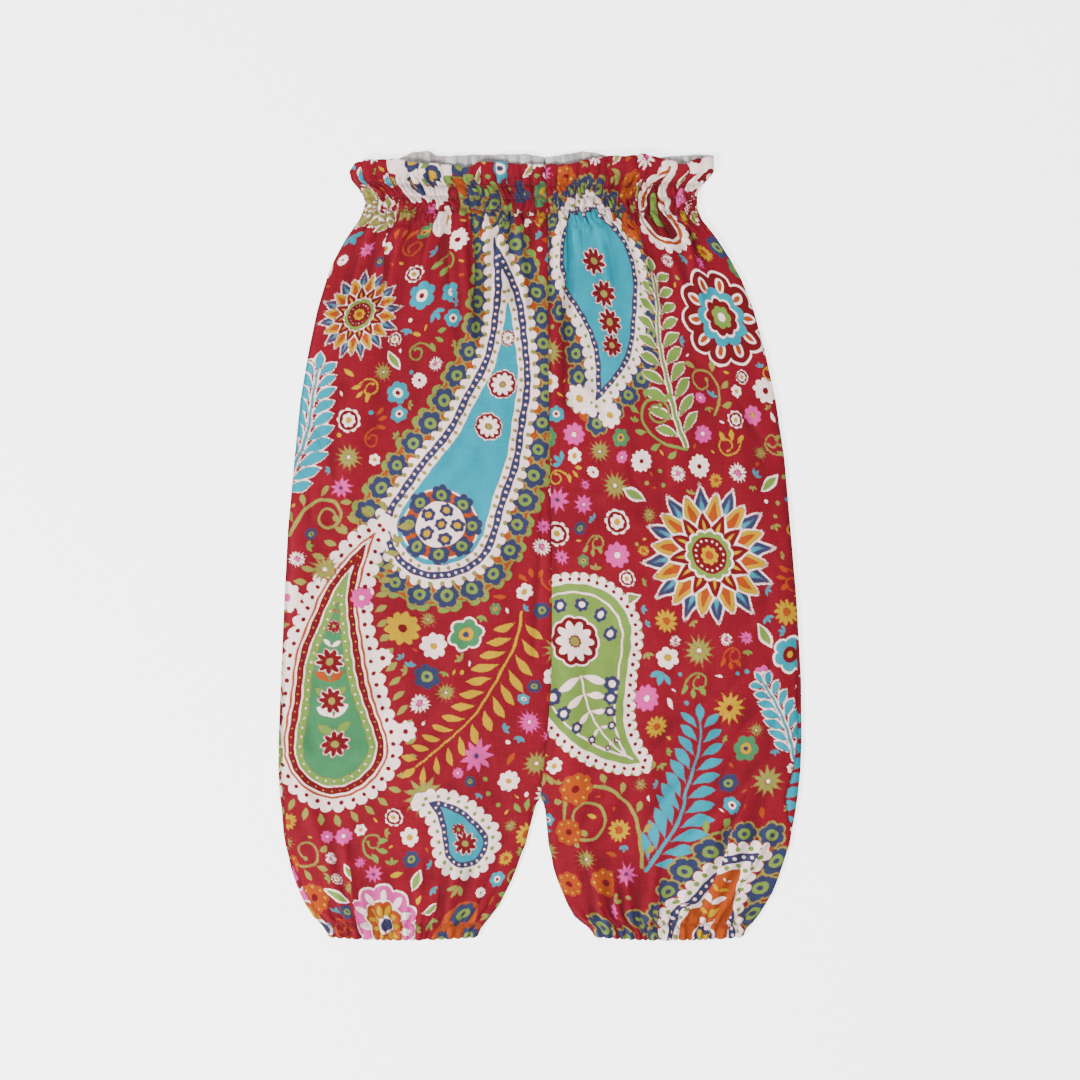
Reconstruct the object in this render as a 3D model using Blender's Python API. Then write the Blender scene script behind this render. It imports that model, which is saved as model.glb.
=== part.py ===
"""Toddler harem pants of printed cotton, lying flat on their back, as four leg panels.

X is the width, Y the length with the waist at +Y, Z is up off the table.
Lengths are in millimetres until the mesh is made, which is in metres.
"right" and "left" are the wearer's: lying on the back, the right leg is at -X.
"""

import bpy
import numpy as np

MM = 0.001

# Cloth and stacking, mm
WALL = 1.2                 # thickness of the plain cloth wall
SEAM_GAP = 0.3             # space left between two panels at a seam
BACK_PUFF = 0.9            # how far gathers thicken the back panel's wall
LAYER_GAP = 0.45           # space between the back and the front panel at an edge
LAYER_LOFT = 0.7           # more space inside, where the cloth stands off a little
EDGE_ROLL = 0.35           # how far a panel's face turns in at a side edge
EDGE_REACH = 2.2           # width of that turn
RIM_ROUND = 0.3            # how far a rim's middle stands out past its faces

# Shirring at the waist and gathers at the ankle
WAIST_GATHERS = 15         # per panel
ANKLE_GATHERS = 18         # per panel
WAIST_RELIEF = 1.15        # height of a gather at the waist
ANKLE_RELIEF = 1.0         # height of a gather at the ankle
POINTS_A_GATHER = 4
FRILL_WAVES = 3            # per panel, in the standing frill
FRONT_WAVE = 2.4           # height of the front frill's waves
BACK_WAVE = 1.6            # height of the back frill's waves
FRILL_ROOT = 215.7         # the first row of elastic thread
SHIRRING_ROWS = (215.7, 208.2, 200.4, 192.0)
SHIRRING_DEPTH = (0.75, 0.75, 0.75, 0.35)
THREAD_REACH = 2.0         # half width of the groove that a thread pulls in
ANKLE_STITCH = -227.6      # the line that closes the ankle casing
CROTCH = -152.4
HEM = -234.6
HEM_DROP = 1.8             # how far the hem's middle hangs below its ends
TALLEST_RELIEF = 1.75      # most that gathers and folds add to the front's wall

# Outline seen from above. Each row is a section across both legs.
# y, right_side, right_inner, left_inner, left_side
OUTLINE = (
    (223.8, -114.0, 3.0, 3.0, 103.8),
    (219.0, -112.8, 3.3, 3.3, 99.6),
    (214.2, -108.6, 3.6, 3.6, 95.4),
    (209.4, -105.6, 3.9, 3.9, 93.9),
    (204.6, -104.4, 4.2, 4.2, 93.9),
    (199.8, -105.9, 4.2, 4.2, 94.5),
    (195.0, -108.0, 4.5, 4.5, 96.6),
    (189.0, -112.2, 4.8, 4.8, 101.7),
    (183.0, -116.4, 4.8, 4.8, 106.2),
    (171.0, -123.0, 4.8, 4.8, 114.0),
    (159.0, -127.8, 4.8, 4.8, 120.6),
    (141.0, -133.2, 4.8, 4.8, 127.8),
    (117.0, -138.3, 5.1, 5.1, 134.4),
    (87.0, -143.4, 5.4, 5.4, 141.0),
    (51.0, -147.0, 6.0, 6.0, 146.4),
    (9.0, -150.9, 6.9, 6.9, 150.0),
    (-33.0, -153.0, 7.2, 7.2, 153.6),
    (-81.0, -155.1, 6.9, 6.9, 156.3),
    (-117.0, -156.5, 4.2, 4.2, 156.6),
    (-135.0, -156.6, 2.1, 2.1, 155.9),
    (-151.2, -155.7, 0.3, 0.3, 154.2),
    (-154.8, -155.1, -2.4, 2.5, 153.6),
    (-159.6, -154.5, -3.9, 3.6, 153.0),
    (-172.2, -153.6, -7.2, 4.8, 150.6),
    (-179.4, -152.4, -9.0, 5.4, 149.4),
    (-186.6, -150.6, -12.0, 7.2, 147.0),
    (-193.8, -149.1, -14.4, 8.4, 144.6),
    (-201.0, -146.7, -17.4, 10.8, 142.2),
    (-208.2, -144.0, -21.0, 13.8, 139.2),
    (-215.4, -140.4, -24.6, 16.8, 135.0),
    (-222.6, -135.6, -30.0, 21.0, 130.2),
    (-226.2, -132.0, -33.0, 25.2, 127.2),
    (-229.8, -128.7, -35.7, 30.3, 123.6),
    (-234.6, -126.9, -37.5, 32.7, 121.8),
)

# The frill's upper edge. Each row is a point along the waist.
# x, front_edge, back_edge
FRILL_EDGE = (
    (-114.0, 223.8, 223.8),
    (-110.4, 228.0, 227.4),
    (-104.4, 230.4, 229.2),
    (-93.0, 231.0, 229.8),
    (-84.0, 230.4, 231.6),
    (-76.2, 228.6, 235.5),
    (-67.2, 228.0, 236.4),
    (-62.4, 228.0, 233.4),
    (-54.0, 227.4, 232.8),
    (-44.4, 225.6, 233.4),
    (-40.8, 226.2, 234.0),
    (-37.2, 229.2, 234.0),
    (-24.0, 229.2, 234.0),
    (-9.0, 227.4, 234.0),
    (6.0, 227.4, 232.2),
    (15.0, 227.4, 234.0),
    (24.0, 229.2, 235.8),
    (33.0, 231.6, 235.2),
    (39.0, 232.5, 233.4),
    (51.0, 232.8, 232.2),
    (63.0, 233.7, 231.6),
    (72.0, 231.6, 232.2),
    (78.0, 229.8, 232.8),
    (85.8, 227.4, 233.4),
    (96.0, 231.0, 234.0),
    (103.8, 232.5, 233.4),
)

# Rows of points down a panel, first in the frill, where down_share runs from 0 at its
# edge to 1 at its root, and then below it. Where outer_columns is 0, the outer face has
# a column for every quarter of a gather.
# down_share, outer_columns, inner_columns
FRILL_ROWS = (
    (0.0, 0, 24),
    (0.3, 0, 24),
    (0.65, 0, 24),
)
# y, outer_columns, inner_columns
BODY_ROWS = (
    (215.7, 0, 18),
    (212.0, 0, 12),
    (208.2, 0, 12),
    (204.3, 0, 12),
    (200.4, 0, 12),
    (196.2, 0, 12),
    (192.0, 0, 12),
    (186.5, 0, 12),
    (179.0, 0, 10),
    (169.0, 30, 10),
    (155.0, 24, 8),
    (137.0, 20, 8),
    (115.0, 18, 8),
    (85.0, 16, 8),
    (50.0, 14, 8),
    (10.0, 14, 8),
    (-33.0, 14, 8),
    (-75.0, 14, 8),
    (-117.0, 14, 8),
    (-135.0, 16, 8),
    (-151.2, 16, 8),
    (-154.8, 16, 8),
    (-160.0, 16, 8),
    (-172.2, 18, 8),
    (-186.6, 20, 8),
    (-198.0, 22, 8),
    (-207.5, 26, 8),
    (-215.4, 36, 10),
    (-221.6, 0, 12),
    (-225.0, 0, 12),
    (-227.6, 0, 12),
    (-230.6, 0, 12),
    (-234.6, 0, 12),
)

# The largest folds of the front, each a straight ridge from one end to the other.
# x0, y0, x1, y1, width, height
FOLDS = (
    (-46.8, 187.8, -42.0, 129.0, 6.0, 1.7),
    (-12.0, 183.0, -9.6, 147.0, 5.5, 1.4),
    (10.5, 184.0, 9.0, 87.0, 6.0, 1.6),
    (58.0, 186.0, 69.0, 147.0, 5.5, 1.3),
    (88.0, 184.0, 95.0, 152.0, 5.5, 1.2),
    (-84.0, 184.0, -93.0, 141.0, 5.5, 1.2),
    (-103.0, 184.0, -114.0, 146.0, 5.5, 1.1),
    (125.0, -151.0, 103.0, -212.0, 9.0, 1.6),
    (135.6, -176.0, 108.0, -222.0, 7.0, 1.4),
    (30.0, -189.0, 38.0, -222.0, 6.0, 1.3),
    (-117.0, -183.0, -112.0, -222.0, 6.0, 1.2),
    (-51.0, -195.0, -55.0, -222.0, 6.0, 1.2),
    (-144.0, -141.0, -118.0, -222.0, 8.0, 1.0),
    (69.0, -196.0, 66.0, -222.0, 5.5, 1.0),
)

# Cloth colours seen through each panel's own material
GROUND_RED = (0.38, 0.022, 0.035, 1.0)
GROUND_RED_BACK = (0.33, 0.020, 0.032, 1.0)


def smooth(value, start, end):
    """0 at start, 1 at end, with an even slope out of one and into the other."""
    share = np.clip((value - start) / (end - start), 0.0, 1.0)
    return share * share * (3.0 - 2.0 * share)


def outline_at(y, column):
    """The outline table's column at these heights, straight between its sections."""
    table = np.array(OUTLINE)[::-1]
    return np.interp(y, table[:, 0], table[:, column])


def frill_edge(x, column):
    table = np.array(FRILL_EDGE)
    return np.interp(x, table[:, 0], table[:, column])


def gather_phase(share, count, shift):
    """Gathers passed by this share of the width, unevenly spaced, whole at both ends."""
    sway = 0.30 * np.sin(2.0 * np.pi * (2.0 * share + shift))
    sway = sway + 0.17 * np.sin(2.0 * np.pi * (5.0 * share + 2.3 * shift))
    sway = sway * np.sin(np.pi * share)
    return count * share + sway


def gather_shares(count, shift):
    """Shares of the width where the phase is a whole quarter: crests, slopes and troughs."""
    share = np.linspace(0.0, 1.0, 2001)
    wanted = np.arange(count * POINTS_A_GATHER + 1) / POINTS_A_GATHER
    return np.interp(wanted, gather_phase(share, count, shift), share)


def crest(phase):
    """0 in a trough and 1 on a crest; a phase of 0 is a trough."""
    return 0.5 - 0.5 * np.cos(2.0 * np.pi * phase)


def waist_strength(y):
    """How strongly the waist gathers the cloth: full in the shirring, fading below."""
    return smooth(y, 158.0, 193.0)


def ankle_strength(y):
    """The same for the ankle, fading upwards."""
    return smooth(-y, 204.0, 224.0)


def thread_groove(y):
    """How much of a gather's height the threads take away at this height."""
    taken = np.zeros_like(y)
    for row, depth in zip(SHIRRING_ROWS, SHIRRING_DEPTH):
        taken = np.maximum(taken, depth * np.exp(-((y - row) / THREAD_REACH) ** 2))
    return np.maximum(taken, 0.6 * np.exp(-((y - ANKLE_STITCH) / 1.6) ** 2))


def gather_height(share, y, shift):
    """Height of the gathers above the plain wall."""
    waist = crest(gather_phase(share, WAIST_GATHERS, shift))
    ankle = crest(gather_phase(share, ANKLE_GATHERS, shift))
    uneven = 0.8 + 0.2 * np.sin(2.0 * np.pi * (3.0 * share + shift))
    frill_fade = 1.0 - 0.45 * smooth(y, FRILL_ROOT, FRILL_ROOT + 14.0)
    height = WAIST_RELIEF * waist * waist_strength(y) * frill_fade
    height = height + ANKLE_RELIEF * ankle * ankle_strength(y)
    return height * uneven * (1.0 - thread_groove(y))


def fold_height(x, y):
    """Height of the largest folds: a rounded ridge round each line of the table."""
    height = np.zeros_like(x)
    for x0, y0, x1, y1, width, tall in FOLDS:
        run = np.array((x1 - x0, y1 - y0))
        length = np.hypot(*run)
        along = ((x - x0) * run[0] + (y - y0) * run[1]) / length
        across = ((x - x0) * run[1] - (y - y0) * run[0]) / length
        beyond = np.maximum(np.maximum(-along, along - length), 0.0)
        ridge = np.exp(-(across / (0.5 * width)) ** 2 - (beyond / 9.0) ** 2)
        height = np.maximum(height, tall * ridge)
    return height


def frill_wave(share, y, shift):
    """Waves of the standing frill, 0 at its root and full at its edge."""
    grown = smooth(y, FRILL_ROOT, FRILL_ROOT + 14.0)
    return grown * crest(FRILL_WAVES * share + 0.35 + shift)


def edge_turn(distance):
    """1 right at an edge, falling away over the turn's width."""
    return np.exp(-(distance / EDGE_REACH) ** 2)


def heights(x, y, share, side_distance, inner_distance, shift):
    """The four faces of the stack at these points, from the table upwards."""
    side = edge_turn(side_distance)
    inseam = smooth(-y, -CROTCH, -CROTCH + 8.0)
    turn = np.maximum(side, edge_turn(inner_distance) * inseam)
    puff = np.maximum(smooth(y, 165.0, 195.0), ankle_strength(y))
    back_wave = BACK_WAVE * frill_wave(share, y, 0.45 + shift)
    waist_trough = 1.0 - crest(gather_phase(share, WAIST_GATHERS, 0.6 + shift))
    ankle_trough = 1.0 - crest(gather_phase(share, ANKLE_GATHERS, 0.6 + shift))
    grooves = waist_trough * smooth(y, 178.0, 195.0) + ankle_trough * ankle_strength(y)
    back_under = back_wave + EDGE_ROLL * turn + 0.75 * BACK_PUFF * grooves * (1.0 - turn)
    back_upper = back_wave + WALL + BACK_PUFF * puff
    inside = np.minimum(side_distance, inner_distance + 60.0 * (1.0 - inseam))
    loft = LAYER_LOFT * (1.0 - np.exp(-inside / 9.0))
    front_wave = FRONT_WAVE * frill_wave(share, y, shift)
    front_under = back_upper + LAYER_GAP + loft + front_wave
    relief = gather_height(share, y, shift) + fold_height(x, y)
    relief = np.minimum(relief, TALLEST_RELIEF) * (1.0 - 0.75 * turn)
    front_upper = front_under + WALL - 0.15 * turn + relief
    return back_under, back_upper, front_under, front_upper


def section(shares, row, leg, layer):
    """Points across one panel in one row: x, y and the four heights of the stack.

    row is (down_share, None) in the frill, whose edge isn't straight, and (None, y) below.
    """
    down_share, height = row
    y = np.full_like(shares, FRILL_ROOT if height is None else height)
    for _ in range(3):
        side = outline_at(y, leg["side_column"])
        inner = outline_at(y, leg["inner_column"]) + 0.5 * SEAM_GAP * leg["way"]
        start, end = (side, inner) if leg["way"] < 0 else (inner, side)
        x = start + (end - start) * shares
        if height is None:
            top = frill_edge(x, 1 if layer == "front" else 2)
            y = top + (FRILL_ROOT - top) * down_share
    levels = heights(x, y, shares, np.abs(x - side), np.abs(x - inner), leg["shift"])
    hem_share = smooth(-y, -ANKLE_STITCH, -HEM)
    y = y - HEM_DROP * hem_share * (1.0 - (2.0 * shares - 1.0) ** 2)
    return x, y, levels


def strip(first, second, first_shares, second_shares):
    """Triangles between two rows of points, facing +Z with the first row at higher Y."""
    triangles = []
    i = 0
    j = 0
    while i < len(first) - 1 or j < len(second) - 1:
        next_first = first_shares[i + 1] if i < len(first) - 1 else 9.0
        next_second = second_shares[j + 1] if j < len(second) - 1 else 9.0
        if next_first < next_second - 1e-9:
            triangles.append((first[i], second[j], first[i + 1]))
            i += 1
        else:
            triangles.append((first[i], second[j], second[j + 1]))
            j += 1
    return triangles


def turned(triangles):
    """The same triangles facing the other way."""
    return [(a, c, b) for a, b, c in triangles]


def column_shares(row, columns, leg):
    """Where a row's points stand across the panel, closer together towards its sides."""
    if columns == 0:
        at_waist = row[1] is None or row[1] > 0.0
        return gather_shares(WAIST_GATHERS if at_waist else ANKLE_GATHERS, leg["shift"])
    even = np.linspace(0.0, 1.0, columns + 1)
    return 0.35 * even + 0.65 * (0.5 - 0.5 * np.cos(np.pi * even))


def panel(leg, layer):
    """A closed wall: a fine outer face, a plain inner face and a rounded rim round both."""
    rows = [((share, None), outer, inner) for share, outer, inner in FRILL_ROWS]
    rows += [((None, y), outer, inner) for y, outer, inner in BODY_ROWS]
    outer_level, inner_level = (3, 2) if layer == "front" else (0, 1)
    points = []
    outer_rows = []
    inner_rows = []
    rims = []
    for row, outer_columns, inner_columns in rows:
        made = []
        faces = ((outer_columns, outer_level), (inner_columns, inner_level))
        for columns, level in faces:
            shares = column_shares(row, columns, leg)
            if level == inner_level:
                shares = np.linspace(0.0, 1.0, columns + 1)
            x, y, levels = section(shares, row, leg, layer)
            first = len(points)
            points.extend(zip(x, y, levels[level]))
            made.append((list(range(first, first + len(shares))), shares))
        outer_rows.append(made[0])
        inner_rows.append(made[1])
        rims.append([])
        for end, way in ((0, -1.0), (-1, 1.0)):
            corners = (made[0][0][end], made[1][0][end])
            middle = 0.5 * (np.array(points[corners[0]]) + np.array(points[corners[1]]))
            rims[-1].append(len(points))
            points.append(tuple(middle))
            at_seam = abs(middle[0] - outline_at(middle[1], leg["inner_column"])) < 1.0
            for corner in corners:
                x, y, z = points[corner]
                points[corner] = (x if at_seam else x - RIM_ROUND * way, y, z)
    upper, lower = outer_rows, inner_rows
    if layer == "back":
        upper, lower = inner_rows, outer_rows
    triangles = []
    for i in range(len(rows) - 1):
        triangles += strip(upper[i][0], upper[i + 1][0], upper[i][1], upper[i + 1][1])
        triangles += turned(strip(lower[i][0], lower[i + 1][0], lower[i][1], lower[i + 1][1]))
        for end, facing in ((0, turned), (-1, list)):
            ladder = (
                (upper[i][0][end], upper[i + 1][0][end]),
                (rims[i][end], rims[i + 1][end]),
                (lower[i][0][end], lower[i + 1][0][end]),
            )
            for (a, b), (c, d) in zip(ladder, ladder[1:]):
                triangles += facing([(a, b, d), (a, d, c)])
    for i, facing in ((0, turned), (-1, list)):
        edge = [rims[i][0]] + lower[i][0] + [rims[i][1]]
        shares = np.concatenate(((-0.001,), lower[i][1], (1.001,)))
        triangles += facing(strip(upper[i][0], edge, upper[i][1], shares))
    return np.array(points), triangles


def material(name, colour):
    """Plain woven cotton: matt, with a little sheen from its fibres."""
    made = bpy.data.materials.new(name)
    made.use_nodes = True
    shader = made.node_tree.nodes["Principled BSDF"]
    shader.inputs["Base Color"].default_value = colour
    shader.inputs["Roughness"].default_value = 0.85
    shader.inputs["Sheen Weight"].default_value = 0.1
    return made


def add_object(name, points, triangles, colour):
    mesh = bpy.data.meshes.new(name)
    mesh.from_pydata((points * MM).tolist(), [], triangles)
    mesh.update()
    made = bpy.data.objects.new(name, mesh)
    made.data.materials.append(material(name + "_cotton", colour))
    bpy.context.scene.collection.objects.link(made)
    return made


# way is the side of the middle that the leg lies on; shift sets its gathers' unevenness
LEGS = (
    {"name": "right_leg", "side_column": 1, "inner_column": 2, "way": -1, "shift": 0.10},
    {"name": "left_leg", "side_column": 4, "inner_column": 3, "way": 1, "shift": 0.55},
)

for old in list(bpy.data.objects):
    bpy.data.objects.remove(old)

for leg in LEGS:
    for layer, colour in (("front", GROUND_RED), ("back", GROUND_RED_BACK)):
        wall_points, wall_triangles = panel(leg, layer)
        add_object(f"{layer}_{leg['name']}_panel", wall_points, wall_triangles, colour)
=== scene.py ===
"""Toddler harem pants of printed cotton lawn, laid flat on their back panels.

X is the width, Y the length with the waist at +Y, Z is up. Lengths are in millimetres until a
mesh is made. "right" and "left" are the wearer's: the right leg lies at -X.
"""

import bpy
import mathutils
import numpy as np
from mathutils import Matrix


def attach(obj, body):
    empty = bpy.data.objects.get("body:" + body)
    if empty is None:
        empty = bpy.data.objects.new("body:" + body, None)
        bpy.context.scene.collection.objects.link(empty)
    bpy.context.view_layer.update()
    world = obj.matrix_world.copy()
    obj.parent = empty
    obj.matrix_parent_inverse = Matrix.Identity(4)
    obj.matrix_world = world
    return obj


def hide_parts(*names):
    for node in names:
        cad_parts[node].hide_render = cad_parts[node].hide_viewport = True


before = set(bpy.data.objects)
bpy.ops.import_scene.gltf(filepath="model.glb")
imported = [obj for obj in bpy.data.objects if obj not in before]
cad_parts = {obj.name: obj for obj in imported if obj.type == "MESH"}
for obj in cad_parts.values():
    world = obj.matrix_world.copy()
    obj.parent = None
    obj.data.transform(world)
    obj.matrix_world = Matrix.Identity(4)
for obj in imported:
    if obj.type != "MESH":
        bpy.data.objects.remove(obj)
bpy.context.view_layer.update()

MM = 0.001
TAU = 2.0 * np.pi

# ---------------------------------------------------------------- sizes, mm
SEAM_GAP = 0.3             # room between two panels at a seam
SEAM_SHUT = 0.1            # how much of it each folded seam edge takes up
SEAM_ROUND = 0.06          # how far a rim bulges past its faces at the centre seam
EDGE_ROUND = 0.5           # and everywhere else
RIM_RINGS = 5              # loops of points round a rim
WALL = 1.2                 # thickness of the plain cloth
BACK_PUFF = 0.9            # how far gathers thicken the back
LAYER_GAP = 0.45           # room between the back and the front at an edge
LAYER_LOFT = 0.7           # how much more of it there is further in
EDGE_ROLL = 0.35           # how far a side edge turns up off the table
EDGE_REACH = 2.2           # width of that turn
WAIST_GATHERS = 15         # a panel
ANKLE_GATHERS = 18         # a panel
PUCKERS = 31               # short pleats a panel, between the rows of elastic thread
WAIST_HEIGHT = 1.35        # of a waist gather, before each one's own share of it
ANKLE_HEIGHT = 1.3
PUCKER_HEIGHT = 1.35
WAIST_RUN = (8.0, 52.0)    # how far gathers run out of the shirring, the shortest and longest
ANKLE_RUN = (4.0, 30.0)
FRILL_WAVES = 3            # a panel
FRILL_GROWTH = 14.0        # height over which the waves grow
FRONT_WAVE = 2.4           # height of the front frill's waves
BACK_WAVE = 1.6
FRILL_ROOT = 215.7         # first row of elastic thread
SHIRRING_ROWS = (215.7, 208.2, 200.4, 192.0)
SHIRRING_DEPTH = (0.85, 0.85, 0.8, 0.45)       # share of the height that each row pulls in
SHIRRING_FOOT = 196.0      # waist gathers run down from here
THREAD_REACH = 1.6         # half width of the groove that a row of thread pulls in
ANKLE_STITCH = -227.6
CASING_DEPTH = 0.75        # share of the height that the casing's stitches pull in
CASING_REACH = 1.4
CASING_TOP = -222.0        # ankle gathers run up from here
CROTCH = -152.4
HEM = -234.6
HEM_DROP = 1.8             # how far the hem's middle hangs below its ends
OFF_THE_CLOTH = 400.0      # the wrong side's points are put past this, where no ink reaches
OTHER_PLACE = 52.0         # how far off in the print is what a rolled seam shows
# Bands of height, from where something begins to where it is full
CROTCH_EASE = (CROTCH, CROTCH - 8.0)
HEADING_FLARE = (FRILL_ROOT, FRILL_ROOT + 12.0)
WAIST_PUFF = (165.0, 195.0)
WAIST_DENTS = (172.0, 195.0)
WAIST_TAKE_UP = (165.0, 200.0)                 # cloth drawn into the troughs of gathers
ANKLE_PUFF = (-204.0, -224.0)
ANKLE_TAKE_UP = (-208.0, -226.0)
ANKLE_FULL = -226.0        # ankle gathers are at their full height below this
ANKLE_FINE = (-219.0, -226.0)                  # fine gathers right at the casing

# Outline seen from above, a section across both legs in each row, from the hem up.
# y, right_side, right_inner, left_inner, left_side
OUTLINE = np.array((
    (-234.6, -126.9, -37.5, 32.7, 121.8), (-229.8, -128.7, -35.7, 30.3, 123.6),
    (-226.2, -132, -33, 25.2, 127.2), (-222.6, -135.6, -30, 21, 130.2),
    (-215.4, -140.4, -24.6, 16.8, 135), (-208.2, -144, -21, 13.8, 139.2),
    (-201, -146.7, -17.4, 10.8, 142.2), (-193.8, -149.1, -14.4, 8.4, 144.6),
    (-186.6, -150.6, -12, 7.2, 147), (-179.4, -152.4, -9, 5.4, 149.4),
    (-172.2, -153.6, -7.2, 4.8, 150.6), (-159.6, -154.5, -3.9, 3.6, 153),
    (-154.8, -155.1, -2.4, 2.5, 153.6), (-151.2, -155.7, 0.3, 0.3, 154.2),
    (-135, -156.6, 2.1, 2.1, 155.9), (-117, -156.5, 4.2, 4.2, 156.6),
    (-81, -155.1, 6.9, 6.9, 156.3), (-33, -153, 7.2, 7.2, 153.6), (9, -150.9, 6.9, 6.9, 150),
    (51, -147, 6, 6, 146.4), (87, -143.4, 5.4, 5.4, 141), (117, -138.3, 5.1, 5.1, 134.4),
    (141, -133.2, 4.8, 4.8, 127.8), (159, -127.8, 4.8, 4.8, 120.6), (171, -123, 4.8, 4.8, 114),
    (183, -116.4, 4.8, 4.8, 106.2), (189, -112.2, 4.8, 4.8, 101.7), (195, -108, 4.5, 4.5, 96.6),
    (199.8, -105.9, 4.2, 4.2, 94.5), (204.6, -104.4, 4.2, 4.2, 93.9),
    (209.4, -105.6, 3.9, 3.9, 93.9), (214.2, -108.6, 3.6, 3.6, 95.4), (219, -112.8, 3.3, 3.3, 99.6),
    (223.8, -114, 3, 3, 103.8),
))
# The frill's upper edge: x, front_edge, back_edge
FRILL_EDGE = np.array((
    (-114, 223.8, 223.8), (-110.4, 228, 227.4), (-104.4, 230.4, 229.2), (-93, 231, 229.8),
    (-84, 230.4, 231.6), (-76.2, 228.6, 235.5), (-67.2, 228, 236.4), (-62.4, 228, 233.4),
    (-54, 227.4, 232.8), (-44.4, 225.6, 233.4), (-40.8, 226.2, 234), (-37.2, 229.2, 234),
    (-24, 229.2, 234), (-9, 227.4, 234), (6, 227.4, 232.2), (15, 227.4, 234), (24, 229.2, 235.8),
    (33, 231.6, 235.2), (39, 232.5, 233.4), (51, 232.8, 232.2), (63, 233.7, 231.6),
    (72, 231.6, 232.2), (78, 229.8, 232.8), (85.8, 227.4, 233.4), (96, 231, 234),
    (103.8, 232.5, 233.4),
))

# Folds and creases of the front, ridges where height is positive and troughs where negative.
# lean puts the steeper flank to the right (positive) or the left.
# x0, y0, x1, y1, width, height, lean
FRONT_FOLDS = (
    (-46.8, 190, -42, 129, 6.5, 1.7, 0.6), (-41, 186, -38, 140, 4, -0.5, 0),
    (-12, 186, -9.6, 147, 5.5, 1.3, 0.5), (-24, 186, -27, 152, 5, 0.8, -0.4),
    (10.5, 186, 9, 87, 6.5, 1.5, -0.5), (16, 180, 15, 110, 4.5, -0.4, 0),
    (36, 187, 41, 158, 5, 0.8, 0.4), (58, 186, 69, 147, 5.5, 1.2, 0.5),
    (88, 184, 95, 152, 5.5, 1.1, 0.4), (74, 186, 84, 160, 4.5, 0.7, 0.3),
    (-84, 184, -93, 141, 5.5, 1.1, -0.5), (-66, 186, -70, 158, 4.5, 0.7, -0.3),
    (-103, 184, -114, 146, 5.5, 1, -0.4), (125, -151, 103, -212, 7, 1.5, -0.8),
    (135.6, -176, 108, -222, 6, 1.4, 0.8), (30, -189, 38, -222, 6, 1.2, -0.4),
    (52, -200, 55, -222, 5, 0.8, 0.3), (69, -196, 66, -222, 5.5, 0.9, 0.3),
    (88, -204, 84, -222, 5, 0.8, 0.3), (-117, -183, -112, -222, 6, 1.1, 0.4),
    (-96, -200, -95, -222, 5, 0.8, -0.3), (-72, -198, -74, -222, 5, 0.8, 0.3),
    (-51, -195, -55, -222, 6, 1.1, -0.4), (-144, -141, -118, -222, 8, 0.9, 0.5),
    (-30, -176, -42, -218, 6, 0.7, -0.3), (-100, 128, -116, 40, 16, 1, 0.3),
    (-62, 118, -74, 20, 20, 0.8, -0.2), (40, 130, 50, 20, 18, 0.9, 0.2),
    (108, 126, 124, 30, 17, 1, 0.3), (78, 96, 84, 10, 14, 0.6, -0.3),
    (-22, 90, -34, -60, 20, 0.8, 0), (72, -40, 60, -160, 18, 0.9, 0.2),
    (-92, -30, -84, -150, 20, 0.8, -0.2), (-52, -70, -40, -160, 14, 0.6, 0.2),
    (14, -40, 20, -160, 11, 0.8, 0), (110, -60, 116, -140, 14, 0.6, -0.3),
    (142, -20, 146, -120, 11, 0.8, 0), (-144, 20, -148, -120, 11, 0.8, 0),
    (-126, 90, -134, 20, 9, 0.5, 0.3), (6, 60, 11, -30, 6, -0.5, 0), (2, 40, -4, -60, 6, -0.5, 0),
    (128, -78, 54, -138, 13, 0.9, -0.4), (146, -92, 70, -162, 11, 1, -0.5),
    (152, -120, 84, -186, 10, 1, -0.5), (60, -128, 26, -178, 10, 0.7, 0.4),
    (-140, -64, -100, -96, 12, 0.7, 0.4), (-128, -118, -74, -142, 13, 0.8, -0.4),
    (-96, -168, -40, -150, 12, 0.7, 0.4), (100, 112, 140, 64, 12, 0.8, -0.4),
    (20, 96, 60, 44, 13, 0.7, 0.3), (-136, 60, -104, -6, 13, 0.8, 0.4),
)
# The back is pressed against the table, so its creases are shallow troughs: the same columns
BACK_FOLDS = (
    (-60, 180, -66, 120, 6, 0.35, 0), (-100, 176, -112, 130, 6, 0.3, 0),
    (30, 180, 34, 110, 6, 0.35, 0), (84, 178, 96, 126, 6, 0.3, 0),
    (-120, -170, -106, -220, 6, 0.35, 0), (-50, -180, -60, -220, 6, 0.3, 0),
    (50, -176, 58, -220, 6, 0.35, 0), (120, -160, 104, -218, 6, 0.3, 0),
)
# Folds of the back's heading where it stands above the front, on its wrong side: the same
HEADING_FOLDS = (
    (-66.5, 240, -66, 216, 3.4, 1.5, 0.9), (-79, 240, -82, 216, 6, 0.8, -0.3),
    (-92, 236, -90, 216, 3.5, 0.7, 0.6), (-51, 238, -53, 216, 5, 0.6, 0.3),
    (-40.5, 238, -39.5, 216, 3.2, 1.4, -0.9), (-22, 238, -20, 216, 3, 1, 0.8),
    (-9, 238, -11, 216, 4.5, 0.7, -0.4), (13, 238, 17, 216, 3.4, 1.3, -0.9),
    (27, 238, 28, 216, 6, 0.8, 0.2), (43, 238, 41, 216, 3.2, 0.9, 0.8),
    (58, 236, 60, 216, 4, 0.6, -0.4), (74, 236, 73, 216, 3.4, 0.9, -0.8),
    (88, 238, 90, 216, 3.6, 1.1, 0.8),
)

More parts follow.
